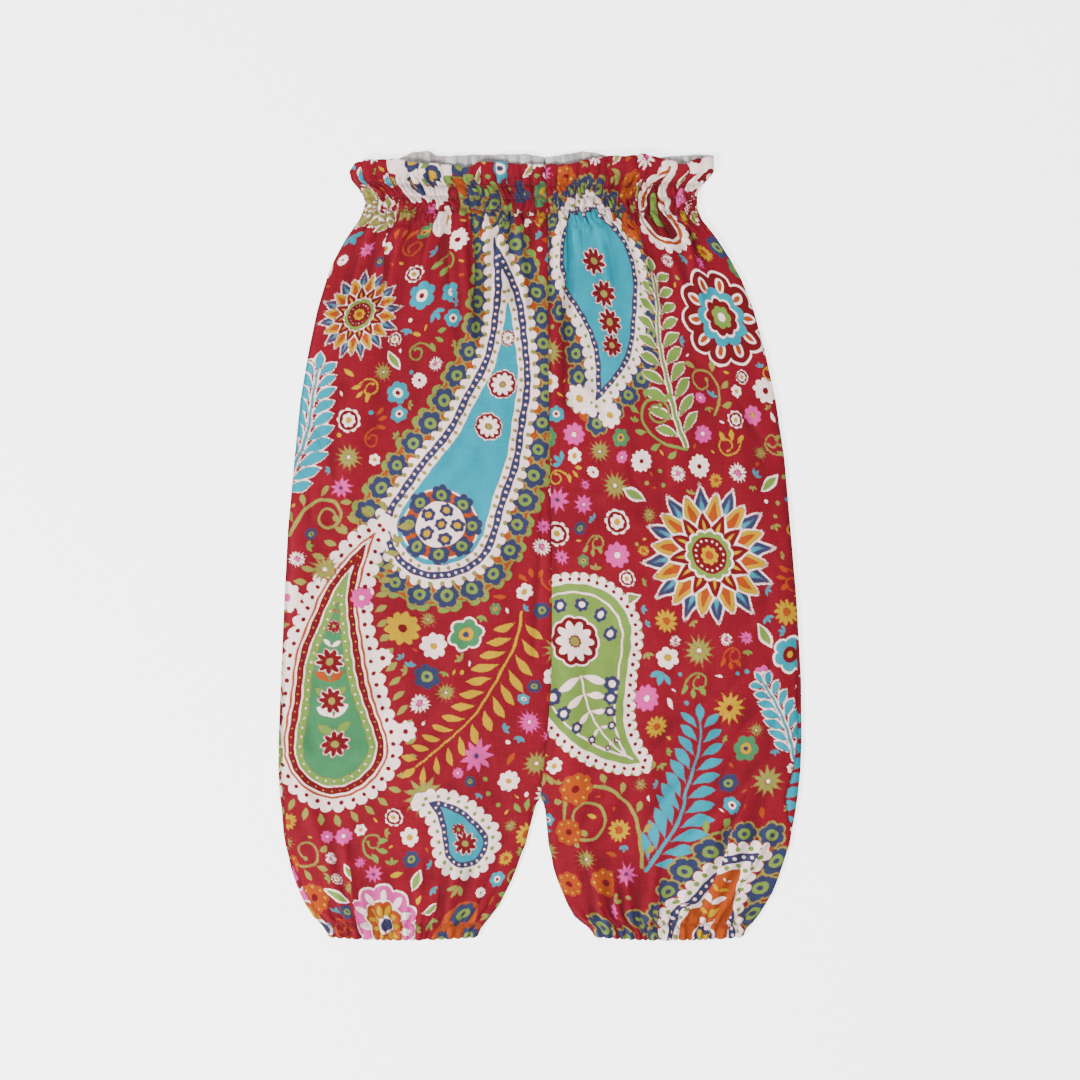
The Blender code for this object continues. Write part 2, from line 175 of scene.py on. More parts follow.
# How far each side seam has rolled onto the front, so that a strip of the back's cloth shows:
# y, right leg, left leg
SIDE_SEAM = np.array((
    (-236, 3.6, 0), (-228, 3.8, 0), (-213, 3.6, 0), (-198, 2.4, 0), (-189, 1.2, 0), (-171, 1.2, 0),
    (-162, 1.4, 4), (-151, 1.6, 7), (-141, 1.7, 5), (-123, 1.8, 2.4), (-105, 1.5, 1.8), (-87, 1, 2),
    (-57, 0.6, 0.8), (-27, 0, 0), (240, 0, 0),
))
# Tucks, where a pleat of the front lies over the cloth beside it. Each runs from its free end to
# the end that the gathers hold, hides some cloth and stands up on its upper side.
# x0, y0, x1, y1, hidden, height, upper side (1 right, -1 left)
TUCKS = (
    (125, -146, 98, -216, 12, 1.5, 1), (137, -174, 113, -222, 9, 1.3, 1),
    (-53, 132, -54, 196, 7, 1.1, 1), (-38, 124, -41, 196, 7, 1.1, -1),
    (12, 118, 17, 194, 5, 0.8, -1), (66, 142, 60, 196, 6, 0.9, 1), (98, 152, 88, 196, 4, 0.7, -1),
    (-97, 146, -90, 196, 5, 0.8, -1), (-114, -182, -111, -222, 5, 0.9, 1),
    (-60, -196, -64, -224, 4, 0.7, -1), (42, -190, 46, -222, 5, 0.8, 1),
    (72, -200, 70, -224, 4, 0.7, -1),
)
# Width of the cut cloth in one panel: y, width
CLOTH_WIDTH = np.array(((-236, 134), (-150, 154), (60, 153), (240, 154)))

# side, inner and seam are the leg's columns in OUTLINE and SIDE_SEAM; way points along X from
# its inner edge to its side; shift sets its gathers apart from the other leg's; cloth_middle is
# where the middle of its panels lies in the print.
LEGS = (
    {"name": "right_leg", "side": 1, "inner": 2, "way": -1, "seam": 1, "shift": 0.10,
     "cloth_middle": -71.8},
    {"name": "left_leg", "side": 4, "inner": 3, "way": 1, "seam": 2, "shift": 0.55,
     "cloth_middle": 78.2},
)


# ---------------------------------------------------------------- form
def smooth(value, start, end):
    """0 at start, 1 at end, level at both: three times the share's square less twice its cube."""
    share = np.clip((value - start) / (end - start), 0.0, 1.0)
    return share * share * (3.0 - 2.0 * share)


def bell(off, reach):
    """e to the minus square of off over reach: 1 in the middle, 0.02 two reaches away."""
    return np.exp(-(off / reach) ** 2)


def read(table, at, column):
    """A column of a table at places of its first column, straight between its rows."""
    return np.interp(at, table[:, 0], table[:, column])


def beside(x, y, x0, y0, x1, y1):
    """How far points lie along a line from its start and to the right of it, its length, and
    its rise: the dot and cross products with its direction."""
    run, rise = x1 - x0, y1 - y0
    length = np.hypot(run, rise)
    along = ((x - x0) * run + (y - y0) * rise) / length
    return along, ((x - x0) * rise - (y - y0) * run) / length, length, rise


def gather_phase(share, count, shift):
    """Gathers passed by this share of the width: even steps with three sways added, which
    draw some gathers wide and others narrow."""
    sway = 0.34 * np.sin(TAU * (2.0 * share + shift))
    sway = sway + 0.17 * np.sin(TAU * (5.0 * share + 2.3 * shift))
    sway = sway + 0.06 * np.sin(TAU * (11.0 * share + 4.1 * shift))
    return count * (share + sway * np.sin(np.pi * share) / 15.0)


def ridge(phase):
    """A round-topped ridge with a narrow trough: one less a power of the distance off centre."""
    return 1.0 - np.abs(2.0 * (phase - np.floor(phase)) - 1.0) ** 2.3


def uneven(phase, low, high, seed, power=1.5):
    """For each gather its own number between low and high, by the golden-section sequence;
    a high power leaves most of them low."""
    number = np.floor(phase)
    return low + (high - low) * np.mod((number + seed) * 0.618 + 0.37 * seed, 1.0) ** power


def frill_wave(share, y, shift):
    """Waves of the standing frill, half of one less a cosine: none at its root, full at its
    edge."""
    grown = smooth(y, FRILL_ROOT, FRILL_ROOT + FRILL_GROWTH)
    return grown * (0.5 - 0.5 * np.cos(TAU * (FRILL_WAVES * share + 0.35 + shift)))


def row_sway(x, row):
    """How far a row of thread wanders up and down: two sines along it."""
    return 0.55 * np.sin(x / 14.0 + row) + 0.3 * np.sin(x / 4.7 + 2.0 * row)


def thread_groove(x, y):
    """Share of a gather's height that the threads pull in: a bell round each row."""
    taken = CASING_DEPTH * bell(y - ANKLE_STITCH, CASING_REACH)
    for row, depth in zip(SHIRRING_ROWS, SHIRRING_DEPTH):
        taken = np.maximum(taken, depth * bell(y - row - row_sway(x, row), THREAD_REACH))
    return taken


def pucker_phase(share, y, shift):
    """Puckers passed by this share. They fall out of step by a third at each thread row, so
    none runs straight through the shirring."""
    rows_passed = sum(smooth(y, row - 1.5, row + 1.5) for row in SHIRRING_ROWS)
    lean = 0.3 * np.sin(y / 2.3 + 11.0 * share) + 0.2 * np.sin(y / 3.7 - 23.0 * share)
    return gather_phase(share, PUCKERS, shift + 0.3) + 0.36 * rows_passed + lean


def shirred(y):
    """How much the threads pucker the cloth at this height, 0 to 1."""
    return (smooth(y, SHIRRING_FOOT - 12.0, SHIRRING_FOOT)
            * (1.0 - smooth(y, FRILL_ROOT + 1.0, FRILL_ROOT + 8.0)))


def gathers(x, y, share, shift):
    """Height of the gathers and puckers, each of its own height. Each gather runs out of the
    shirring by its own length, and is lower among the puckers and in the frill."""
    waist = gather_phase(share, WAIST_GATHERS, shift)
    ankle = gather_phase(share, ANKLE_GATHERS, shift)
    pucker = pucker_phase(share, y, shift)
    down = uneven(waist, *WAIST_RUN, 1.0 + shift, 2.6)
    up = uneven(ankle, *ANKLE_RUN, 2.0 + shift, 2.6)
    height = WAIST_HEIGHT * uneven(waist, 0.35, 1.25, 3.0 + shift, 1.0) * ridge(waist)
    height = height * smooth(y, SHIRRING_FOOT - down, SHIRRING_FOOT + 3.0)
    height = height * (1.0 - 0.4 * shirred(y))
    height = height * (1.0 - 0.68 * smooth(y, *HEADING_FLARE))
    height = height + (PUCKER_HEIGHT * uneven(pucker, 0.25, 1.15, 4.0, 1.0) * shirred(y)
                       * ridge(pucker))
    height = height + (ANKLE_HEIGHT * uneven(ankle, 0.35, 1.2, 5.0 + shift, 1.0) * ridge(ankle)
                       * smooth(y, CASING_TOP + up, ANKLE_FULL))
    height = height + 0.4 * ridge(2.0 * ankle + 0.4) * smooth(y, *ANKLE_FINE)
    return height * (1.0 - thread_groove(x, y))


def folds(x, y, table):
    """Each row's ridge: a bell across its line, steeper on one flank where it leans, fading
    over 9 mm past its ends. The tallest wins, and troughs are added."""
    tall = np.zeros_like(x)
    low = np.zeros_like(x)
    for x0, y0, x1, y1, width, height, lean in table:
        along, right, length, _ = beside(x, y, x0, y0, x1, y1)
        flank = 0.5 * width * (1.0 - 0.55 * lean * np.sign(-right))
        beyond = np.maximum(np.maximum(-along, along - length), 0.0)
        raised = height * bell(right, flank) * bell(beyond, 9.0)
        tall = np.maximum(tall, raised)
        low = low + np.minimum(raised, 0.0)
    return tall + low


def tucks(x, y):
    """Height that the tucks add, and how far they move the print. A tuck stands highest at its
    line, falls off over 6 mm on its upper side and drops sheer on the other. The print jumps
    there by the cloth hidden, which the cloth beside it takes up over 20 mm."""
    raised = np.zeros_like(x)
    moved = np.zeros_like(x)
    for x0, y0, x1, y1, hidden, height, upper in TUCKS:
        along, right, length, rise = beside(x, y, x0, y0, x1, y1)
        right = np.sign(rise) * right + 0.9 * np.sin(along / 9.0 + x0)
        grown = smooth(along, 0.0, 0.6 * length) * (1.0 - smooth(along, length, length + 7.0))
        lip = bell(right, np.where(upper * right > 0.0, 6.0, 0.45))
        raised = np.maximum(raised, height * grown * lip)
        moved = moved + 0.5 * hidden * grown * np.tanh(right / 0.06) * bell(right, 20.0)
    return raised, moved


def drift(x, y):
    """Unevenness of washed cloth that was smoothed by hand: slow swells, and crumples 15 mm
    across, each a product of two sines whose phases wander."""
    swell = 0.55 * np.sin(x / 17.0 + 1.1 * np.sin(y / 41.0)) * np.sin(y / 29.0 + 1.0)
    swell = swell + 0.3 * np.sin(y / 13.0 + x / 31.0 + 2.0) * np.sin(x / 19.0 + 0.5)
    bent_x = x / 3.1 + 1.6 * np.sin(y / 12.0) + 1.1 * np.sin(x / 21.0 + y / 33.0)
    bent_y = y / 3.7 + 1.5 * np.sin(x / 14.0 + 1.0) + 1.0 * np.sin(y / 25.0)
    return swell + 0.09 * np.sin(bent_x) * np.sin(bent_y) + 0.06 * np.sin(0.6 * bent_x - bent_y)


def levels(x, y, share, side_off, inner_off, leg):
    """The four faces of the stack at these points, from the table upwards: the back's under
    and upper face, then the front's. Each is the one below it, a gap or a wall, and relief."""
    shift = leg["shift"]
    inseam = smooth(y, *CROTCH_EASE)
    turn = np.maximum(bell(side_off, EDGE_REACH), bell(inner_off, EDGE_REACH) * inseam)
    flat = 1.0 - turn
    ankle = smooth(y, *ANKLE_PUFF)
    puff = np.maximum(smooth(y, *WAIST_PUFF), ankle)
    inside = np.minimum(side_off, inner_off + 60.0 * (1.0 - inseam))

    back_wave = BACK_WAVE * frill_wave(share, y, 0.45 + shift)
    waist_trough = 1.0 - ridge(gather_phase(share, WAIST_GATHERS, 0.6 + shift))
    ankle_trough = 1.0 - ridge(gather_phase(share, ANKLE_GATHERS, 0.6 + shift))
    grooves = waist_trough * smooth(y, *WAIST_DENTS) + ankle_trough * ankle
    sunk = 0.75 * BACK_PUFF * grooves + 0.5 * thread_groove(x, y) * puff
    sunk = sunk + folds(x, y, BACK_FOLDS)
    back_under = back_wave + EDGE_ROLL * turn + np.minimum(sunk, 0.95) * flat
    back_upper = back_wave + WALL + BACK_PUFF * puff

    # the back's heading is folded only where it stands above the front
    heading = 0.5 * (1.0 - waist_trough) * smooth(y, *HEADING_FLARE)
    bare = smooth(y - read(FRILL_EDGE, x, 1), -1.0, 2.0)
    heading = heading + folds(x, y, HEADING_FOLDS) * bare
    heading = heading * flat * (1.0 - np.exp(-inside / 6.0))

    front_under = back_upper + LAYER_GAP + LAYER_LOFT * (1.0 - np.exp(-inside / 9.0))
    front_under = front_under + FRONT_WAVE * frill_wave(share, y, shift)
    relief = gathers(x, y, share, shift) + 1.2 * folds(x, y, FRONT_FOLDS) + drift(x, y) + 0.35
    relief = relief + tucks(x, y)[0]
    # ripples that the centre seam's stitches draw in beside it
    relief = relief + 0.16 * np.sin(y / 1.9) * bell(inner_off, 5.0) * (y > CROTCH)
    # what stands over 2.5 mm is pressed down to three tenths
    relief = np.minimum(relief, 2.5 + 0.3 * (relief - 2.5))
    # each seam lies in a narrow trough, the centre seam in a wide one too
    seam = (0.45 * bell(inner_off, 1.6) + 0.5 * bell(inner_off, 6.0)) * (1.0 - inseam)
    rolled = read(SIDE_SEAM, y, leg["seam"])
    seam = seam + 0.5 * bell(side_off - rolled, 0.9) * smooth(rolled, 0.8, 2.0)
    wall = WALL - 0.2 * turn + relief * (1.0 - 0.75 * turn) - seam
    # the deepest troughs are eased, so that the wall stays about half a millimetre thick there
    front_upper = front_under + np.maximum(wall, 0.5 + 0.15 * wall)
    return back_under, back_upper + heading, front_under, front_upper


def lay_out(shares, rows, leg, layer):
    """Grid of points of one panel. rows run 0..1 down the frill and then on by millimetres
    below its root, so a row is a share of the frill's height or a plain y. The frill's height
    depends on x and the width on y, so the two are worked out by turns, three times.
    Returns x, y, the levels and the place on the cut cloth."""
    front = layer == "front"
    share, row = np.meshgrid(shares, rows)
    in_frill = row <= 1.0
    waist = gather_phase(share, WAIST_GATHERS, leg["shift"])
    scallop = (0.9 if front else 0.4) * (uneven(waist, 0.2, 1.2, 6.0) * ridge(waist) - 0.4)
    y = np.where(in_frill, FRILL_ROOT, FRILL_ROOT - (row - 1.0))
    for _ in range(3):
        side = read(OUTLINE, y, leg["side"])
        inner = read(OUTLINE, y, leg["inner"]) + (0.5 * SEAM_GAP - SEAM_SHUT) * leg["way"]
        start, end = (side, inner) if leg["way"] < 0 else (inner, side)
        x = start + (end - start) * share
        top = read(FRILL_EDGE, x, 1 if front else 2) + scallop
        y = np.where(in_frill, top + (FRILL_ROOT - top) * row, y)
    side_off = np.abs(x - side)
    faces = levels(x, y, share, side_off, np.abs(x - inner), leg)
    drop = HEM_DROP * (1.0 - (2.0 * share - 1.0) ** 2)
    drop = drop + 0.9 * (ridge(gather_phase(share, ANKLE_GATHERS, leg["shift"])) - 0.6)
    y = y - smooth(y, ANKLE_STITCH, HEM) * drop
    across, down = on_the_cloth(share, y, leg, layer)
    if front:
        # past a rolled side seam the back's cloth shows, with another part of the print
        rolled = read(SIDE_SEAM, y, leg["seam"])
        across = across + tucks(x, y)[1]
        seam = (side_off < rolled) & (rolled > 0.8)
        across = np.where(seam, across - OTHER_PLACE * leg["way"], across)
    return x, y, faces, across, down


def on_the_cloth(share, y, leg, layer):
    """Where a point lies on the cut cloth. Some of it is tucked into each trough of the
    gathers, so the print runs slowly over a ridge and fast through a trough. Each pucker has
    also slipped its own way, by up to so many mm, which breaks shapes up at the troughs."""
    shift = leg["shift"] + (0.0 if layer == "front" else 0.6)
    moved = np.zeros_like(share)
    slipped = np.zeros_like(share)
    for phase, count, strength, slip in (
            (gather_phase(share, WAIST_GATHERS, shift), WAIST_GATHERS,
             smooth(y, *WAIST_TAKE_UP), 0.8),
            (pucker_phase(share, y, shift), PUCKERS, shirred(y), 3.2),
            (gather_phase(share, ANKLE_GATHERS, shift), ANKLE_GATHERS,
             smooth(y, *ANKLE_TAKE_UP), 1.8)):
        off = phase - np.floor(phase) - 0.5
        trough = np.abs(2.0 * off) ** 8
        moved = moved + strength * 0.4 * off * (trough - 1.0) / count
        slipped = slipped + strength * slip * uneven(phase, -1.0, 1.0, 7.0, 1.0) * (1.0 - trough)
    across = leg["cloth_middle"] + (share + moved - 0.5) * read(CLOTH_WIDTH, y, 1)
    # the screens were drawn by hand, so each outline wavers a little
    waver_x = 0.6 * np.sin(y / 8.3 + across / 15.0) + 0.22 * np.sin(y / 1.9 - across / 2.6)
    waver_y = 0.6 * np.sin(across / 7.7 + y / 21.0) + 0.22 * np.sin(across / 1.8 + y / 2.9)
    return across + waver_x + 0.6 * slipped, y + waver_y + slipped


# ---------------------------------------------------------------- print
GROUND = "79051B"
INK_COLOURS = {"white": "FFE3DB", "navy": "2A3152", "turquoise": "008CA0", "lime": "6C8A39",
               "olive": "86823A", "yellow": "B88E00", "orange": "A03E08", "pink": "CE3A8E",
               "sage": "37764A", "maroon": "66040F"}
# How far each ink creeps along the yarn at a shape's edge, mm
INK_CREEP = {"white": 0.22, "navy": 0.5, "turquoise": 0.45, "lime": 0.4, "olive": 0.36,
             "yellow": 0.28, "orange": 0.38, "pink": 0.3, "sage": 0.48, "maroon": 0.3}
REACH = 2.5                # no shape is felt further than this past its edge, mm


class Print:
    """Inks on a piece of cloth. For each ink it holds, at every point of the cloth, how many
    millimetres the point lies inside that ink's shapes (negative outside)."""

    def __init__(self, across, down):
        self.across = across
        self.down = down
        self.inks = {ink: np.full(len(across), -REACH) for ink in INK_COLOURS}

    def near(self, x, y, reach):
        """Index of the points within reach, and their places seen from x, y."""
        dx = self.across - x
        dy = self.down - y
        index = np.flatnonzero((np.abs(dx) < reach) & (np.abs(dy) < reach))
        return index, dx[index], dy[index]

    def lay(self, ink, index, inside):
        """Prints one shape: its ink gains it, and every other ink loses it."""
        inside = np.clip(inside, -REACH, REACH)
        for name, held in self.inks.items():
            if name == ink:
                held[index] = np.maximum(held[index], inside)
            else:
                held[index] = np.minimum(held[index], -inside)


def draw(cloth, rows, *place):
    """Prints one thing after another: a row is a maker and what it takes after its place."""
    for maker, *look in rows:
        maker(cloth, *place, *look)


def each(cloth, maker, places, *look):
    """The same motif at several places. A place also holds what differs between them."""
    for place in places:
        maker(cloth, *place, *look)


def away(x, y, facing, far):
    """The place so far from another, by the cosine and sine of the angle it lies at."""
    return x + far * np.cos(facing), y + far * np.sin(facing)


def edged(edge, more, ink):
    """The passes of a motif: its edge line, larger all round by so much, if it has one, and
    then the motif itself."""
    return ((ink, 0.0),) if edge is None else ((edge, more), (ink, 0.0))


def dot(cloth, x, y, radius, ink):
    """A disc: inside is its radius less the distance from its middle."""
    index, dx, dy = cloth.near(x, y, radius + REACH)
    cloth.lay(ink, index, radius - np.hypot(dx, dy))


def lobes(cloth, x, y, radius, count, ink, turn, cut=0.0, sharp=0.7):
    """A disc whose radius swings with the cosine of the angle, by the share cut; its lobes
    come to points where sharp is over one."""
    index, dx, dy = cloth.near(x, y, radius + REACH)
    angle = np.arctan2(dy, dx) - turn
    edge = radius * (1.0 - cut + cut * np.abs(np.cos(0.5 * count * angle)) ** sharp)
    cloth.lay(ink, index, edge - np.hypot(dx, dy))


def sector(dx, dy, count, turn):
    """The points folded into one of so many sectors: how far out along it, and how far aside."""
    step = TAU / count
    angle = np.mod(np.arctan2(dy, dx) - turn + 0.5 * step, step) - 0.5 * step
    out = np.hypot(dx, dy)
    return out * np.cos(angle), np.abs(out * np.sin(angle))


def petals(cloth, x, y, start, end, half_width, count, ink, turn, point=0.0):
    """Separate petals round a middle, each an ellipse from start to end, sharper with point."""
    index, dx, dy = cloth.near(x, y, end + REACH)
    out, aside = sector(dx, dy, count, turn)
    along = (out - 0.5 * (start + end)) / (0.5 * (end - start))
    width = half_width * (1.0 - point * np.clip(along, 0.0, 1.0)) + 0.01
    cloth.lay(ink, index, width * (1.0 - np.hypot(along, aside / width)))


def beads(cloth, x, y, ring, radius, count, ink, turn):
    """Discs in a ring round a middle."""
    index, dx, dy = cloth.near(x, y, ring + radius + REACH)
    out, aside = sector(dx, dy, count, turn)
    cloth.lay(ink, index, radius - np.hypot(out - ring, aside))


def leaf(cloth, x, y, heading, length, half_width, ink, fat=0.75, sweep=0.0):
    """A leaf from its stalk end, heading in radians: half its width is a sine of a power of
    the way along, which moves its fattest place out where fat is over one; sweep bends it."""
    index, dx, dy = cloth.near(x, y, length + REACH)
    along = (dx * np.cos(heading) + dy * np.sin(heading)) / length
    aside = -dx * np.sin(heading) + dy * np.cos(heading)
    aside = aside - sweep * length * along * (1.0 - along)
    width = half_width * np.sin(np.pi * np.clip(along, 0.0, 1.0) ** fat)
    beyond = np.maximum(np.maximum(-along, along - 1.0), 0.0) * length
    cloth.lay(ink, index, np.where(beyond > 0.0, -np.hypot(beyond, aside), width - np.abs(aside)))


def walk(x, y, heading, length, bend, power=1.0, steps=60):
    """A curve that sets off at a heading and turns by bend in all, both in degrees, later with
    a higher power. It is the running sum of small steps. Returns its points and headings."""
    share = np.linspace(0.0, 1.0, steps)
    facing = np.deg2rad(heading + bend * share ** power)
    step = length / (steps - 1)
    xs = x + np.concatenate(((0.0,), np.cumsum(step * np.cos(facing[:-1]))))
    ys = y + np.concatenate(((0.0,), np.cumsum(step * np.sin(facing[:-1]))))
    return xs, ys, facing


def stroke(cloth, xs, ys, half_widths, ink):
    """A line of changing width: each point's best distance inside the strip round a step."""
    half_widths = np.broadcast_to(half_widths, xs.shape)
    reach = half_widths.max() + REACH
    inside_box = (cloth.across > xs.min() - reach) & (cloth.across < xs.max() + reach)
    inside_box &= (cloth.down > ys.min() - reach) & (cloth.down < ys.max() + reach)
    index = np.flatnonzero(inside_box)
    px, py = cloth.across[index], cloth.down[index]
    best = np.full(len(index), -REACH)
    for ax, ay, bx, by, start, end in zip(xs, ys, np.diff(xs), np.diff(ys), half_widths,
                                          half_widths[1:]):
        share = ((px - ax) * bx + (py - ay) * by) / max(bx ** 2 + by ** 2, 1e-9)
        share = np.clip(share, 0.0, 1.0)
        far = np.hypot(px - ax - share * bx, py - ay - share * by)
        best = np.maximum(best, start + (end - start) * share - far)
    cloth.lay(ink, index, best)


def evenly(xs, ys, pitch):
    """Places a pitch apart along a curve, and the curve's heading at each."""
    run = np.concatenate(((0.0,), np.cumsum(np.hypot(np.diff(xs), np.diff(ys)))))
    count = max(int(round(run[-1] / pitch)), 1)
    at = (np.arange(count) + 0.5) * run[-1] / count
    facing = np.arctan2(np.interp(at + 0.5, run, ys) - np.interp(at - 0.5, run, ys),
                        np.interp(at + 0.5, run, xs) - np.interp(at - 0.5, run, xs))
    return np.interp(at, run, xs), np.interp(at, run, ys), facing


# ---------------------------------------------------------------- flowers
# A flower is rings from the outside in: maker, sizes as shares of its radius, count of petals,
# ink, then the ring's own turn and shape.
DAHLIA = (
    (petals, (0.2, 1, 0.16), 12, "white", 0, 0.55), (petals, (0.3, 0.95, 0.12), 12, "navy", 0, 0.6),
    (petals, (0.3, 0.8, 0.05), 12, "turquoise", 0, 0.5),
    (petals, (0.2, 0.88, 0.15), 12, "white", 0.26, 0.35),
    (petals, (0.2, 0.85, 0.12), 12, "yellow", 0.26, 0.35),
    (petals, (0.3, 0.74, 0.06), 12, "orange", 0.26, 0.4),
    (petals, (0.2, 0.64, 0.13), 12, "white", 0, 0.55),
    (petals, (0.2, 0.6, 0.095), 12, "maroon", 0, 0.55),
    (petals, (0.3, 0.52, 0.025), 12, "yellow", 0, 0.4), (lobes, (0.38,), 14, "white", 0, 0.12),
    (lobes, (0.34,), 14, "lime", 0, 0.12), (lobes, (0.26,), 14, "maroon"),
    (beads, (0.21, 0.02), 16, "white"), (lobes, (0.14,), 8, "yellow", 0, 0.3),
    (lobes, (0.06,), 8, "orange"),
)
ZINNIA = (
    (lobes, (1,), 11, "white", 0, 0.14), (lobes, (0.94,), 11, "pink", 0, 0.15),
    (petals, (0.5, 0.86, 0.09), 11, "white", 0, 0.2), (lobes, (0.62,), 11, "white", 0.28, 0.16),
    (lobes, (0.57,), 11, "orange", 0.28, 0.16), (petals, (0.2, 0.5, 0.07), 11, "yellow", 0.28, 0.2),
    (lobes, (0.22,), 7, "white", 0, 0.2), (lobes, (0.15,), 7, "navy"),
)
ROUND = (
    (lobes, (1,), 10, "white", 0, 0.16), (lobes, (0.94,), 10, "maroon", 0, 0.17),
    (petals, (0.5, 0.84, 0.11), 10, "white"), (petals, (0.56, 0.78, 0.05), 10, "orange"),
    (lobes, (0.6,), 9, "turquoise", 0.2, 0.2), (lobes, (0.44,), 9, "white", 0.2, 0.2),
    (lobes, (0.38,), 9, "maroon", 0.2, 0.2), (lobes, (0.24,), 7, "lime", 0, 0.2),
    (lobes, (0.1,), 7, "white"),
)
BEADED = (
    (beads, (0.66, 0.36), 8, "orange"), (lobes, (0.5,), 8, "orange"),
    (beads, (0.74, 0.12), 8, "yellow"), (lobes, (0.24,), 8, "maroon"),
)
WHEEL = (
    (lobes, (1.1,), 10, "white", 0, 0.1), (lobes, (1,), 10, "maroon", 0, 0.1),
    (petals, (0.24, 0.86, 0.17), 10, "white"), (lobes, (0.2,), 6, "olive"),
)
SMALL = (
    ((lobes, (1,), 12, "white", 0, 0.2, 1.5), (lobes, (0.2,), 6, "maroon")),
    ((petals, (0.15, 1, 0.115), 13, "olive", 0, 0.5), (lobes, (0.16,), 6, "white")),
    ((lobes, (1,), 6, "white", 0, 0.3), (lobes, (0.32,), 6, "yellow")),
    ((petals, (0.22, 1, 0.26), 9, "pink"), (lobes, (0.24,), 6, "white")),
    ((lobes, (1,), 6, "sage", 0, 0.26), (lobes, (0.46,), 6, "yellow"),
     (lobes, (0.2,), 6, "navy")),
    ((lobes, (1,), 9, "white", 0, 0.16), (lobes, (0.78,), 8, "maroon"),
     (lobes, (0.6,), 7, "white", 0, 0.25), (lobes, (0.25,), 6, "yellow")),
    ((petals, (0.3, 1, 0.14), 12, "yellow"), (lobes, (0.3,), 6, "orange")),
    ((lobes, (1,), 6, "turquoise", 0, 0.26), (lobes, (0.46,), 6, "white"),
     (lobes, (0.2,), 6, "maroon")),
    ((petals, (0.15, 1, 0.15), 9, "pink", 0, 0.5), (lobes, (0.16,), 6, "navy")),
    ((petals, (0.35, 1, 0.1), 14, "white"), (lobes, (0.26,), 6, "pink")),
    ((lobes, (1,), 6, "navy", 0, 0.26), (lobes, (0.44,), 6, "lime"), (lobes, (0.2,), 6, "navy")),
)
DAISIES = (
    (petals, (0.2, 1, 0.24), 9, "white"), (petals, (0.2, 0.9, 0.16), 9, "maroon"),
    (lobes, (0.26,), 6, "olive"),
)


def flower(cloth, x, y, radius, rings, turn=0.0):
    """Prints a flower's rings, each turned by its own angle and the flower's."""
    for maker, sizes, count, ink, *look in rings:
        own_turn, *shape = look or (0.0,)
        maker(cloth, x, y, *(radius * size for size in sizes), count, ink, turn + own_turn, *shape)


def blossom(cloth, x, y, radius, petal="navy", ring="lime", eye="navy", edge=None, turn=0.3):
    """A six-lobed flower with a ringed eye, and an edge line round it if it has one."""
    if edge:
        lobes(cloth, x, y, radius * 1.16, 6, edge, turn, 0.22)
    lobes(cloth, x, y, radius, 6, petal, turn, 0.26)
    if ring:
        dot(cloth, x, y, radius * 0.46, ring)
    if eye:
        dot(cloth, x, y, radius * 0.2, eye)


def blossom_ring(cloth, x, y, radius, count, size, *inks):
    """Blossoms in a ring round a middle."""
    for angle in TAU * np.arange(count) / count:
        blossom(cloth, *away(x, y, angle, radius), size, *inks)


def daisy(cloth, x, y, radius, petal, eye, count):
    """A daisy of separate petals round an eye."""
    petals(cloth, x, y, radius * 0.22, radius, radius * 2.35 / count, count, petal, 0.1)
    dot(cloth, x, y, radius * 0.24, eye)


def star(cloth, x, y, radius, ink, eye="white", count=14):
    """A burst of narrow pointed petals."""
    petals(cloth, x, y, radius * 0.15, radius, radius * 1.5 / count, count, ink, 0.0, 0.5)
    dot(cloth, x, y, radius * 0.16, eye)


def twin_leaf(cloth, x, y, heading, length, ink):
    """A leaf with a white edge line, heading in degrees: a narrow leaf on a wide one."""
    heading = np.deg2rad(heading)
    leaf(cloth, x, y, heading, length, 0.21 * length, "white", 1.1)
    leaf(cloth, *away(x, y, heading, 0.1 * length), heading, 0.78 * length, 0.12 * length, ink, 1.1)


def frond(cloth, x, y, heading, length, bend, leaf_length, ink, pitch, stem, gap, slim, tilt,
          edge=None):
    """A stem with a teardrop leaf to each side a pitch apart, a gap away from it and shorter
    towards both ends, all of it with an edge line if it has one."""
    xs, ys, _ = walk(x, y, heading, length, bend)
    px, py, facing = evenly(xs, ys, pitch)
    sizes = leaf_length * (1.0 - 0.55 * np.abs(np.arange(len(px)) / len(px) - 0.25))
    for colour, more in edged(edge, 1.0, ink):
        stroke(cloth, xs, ys, np.linspace(stem, 0.55, len(xs)) + more, colour)
        for a, b, face, size in zip(px, py, facing, sizes):
            for side in (-1.0, 1.0):
                out = face + side * tilt
                leaf(cloth, *away(a, b, out, gap - more), out, size + 2.0 * more,
                     slim * size + 0.55 + more, colour, 1.3, -0.22 * side)
        leaf(cloth, xs[-1], ys[-1], facing[-1], 0.6 * leaf_length + more,
             0.1 * leaf_length + 0.4 + more, colour, 1.2)


def scroll(cloth, x, y, heading, length, bend, ink, width, power, buds=0):
    """A stroke that winds up ever tighter, with teardrop buds a little off its outside."""
    xs, ys, facing = walk(x, y, heading, length, bend, power, 110)
    side = -np.sign(bend)
    stroke(cloth, xs, ys, np.linspace(width, max(0.6 * width, 0.5), len(xs)), ink)
    dot(cloth, xs[-1], ys[-1], width * 1.7, ink)
    for k in range(buds):
        at = int((k + 0.6) / buds * 70)
        out = facing[at] + side * 0.85
        leaf(cloth, *away(xs[at], ys[at], out, width + 1.0), out, 9.0 - 0.5 * k, 1.8, ink, 1.3,
             0.2 * side)


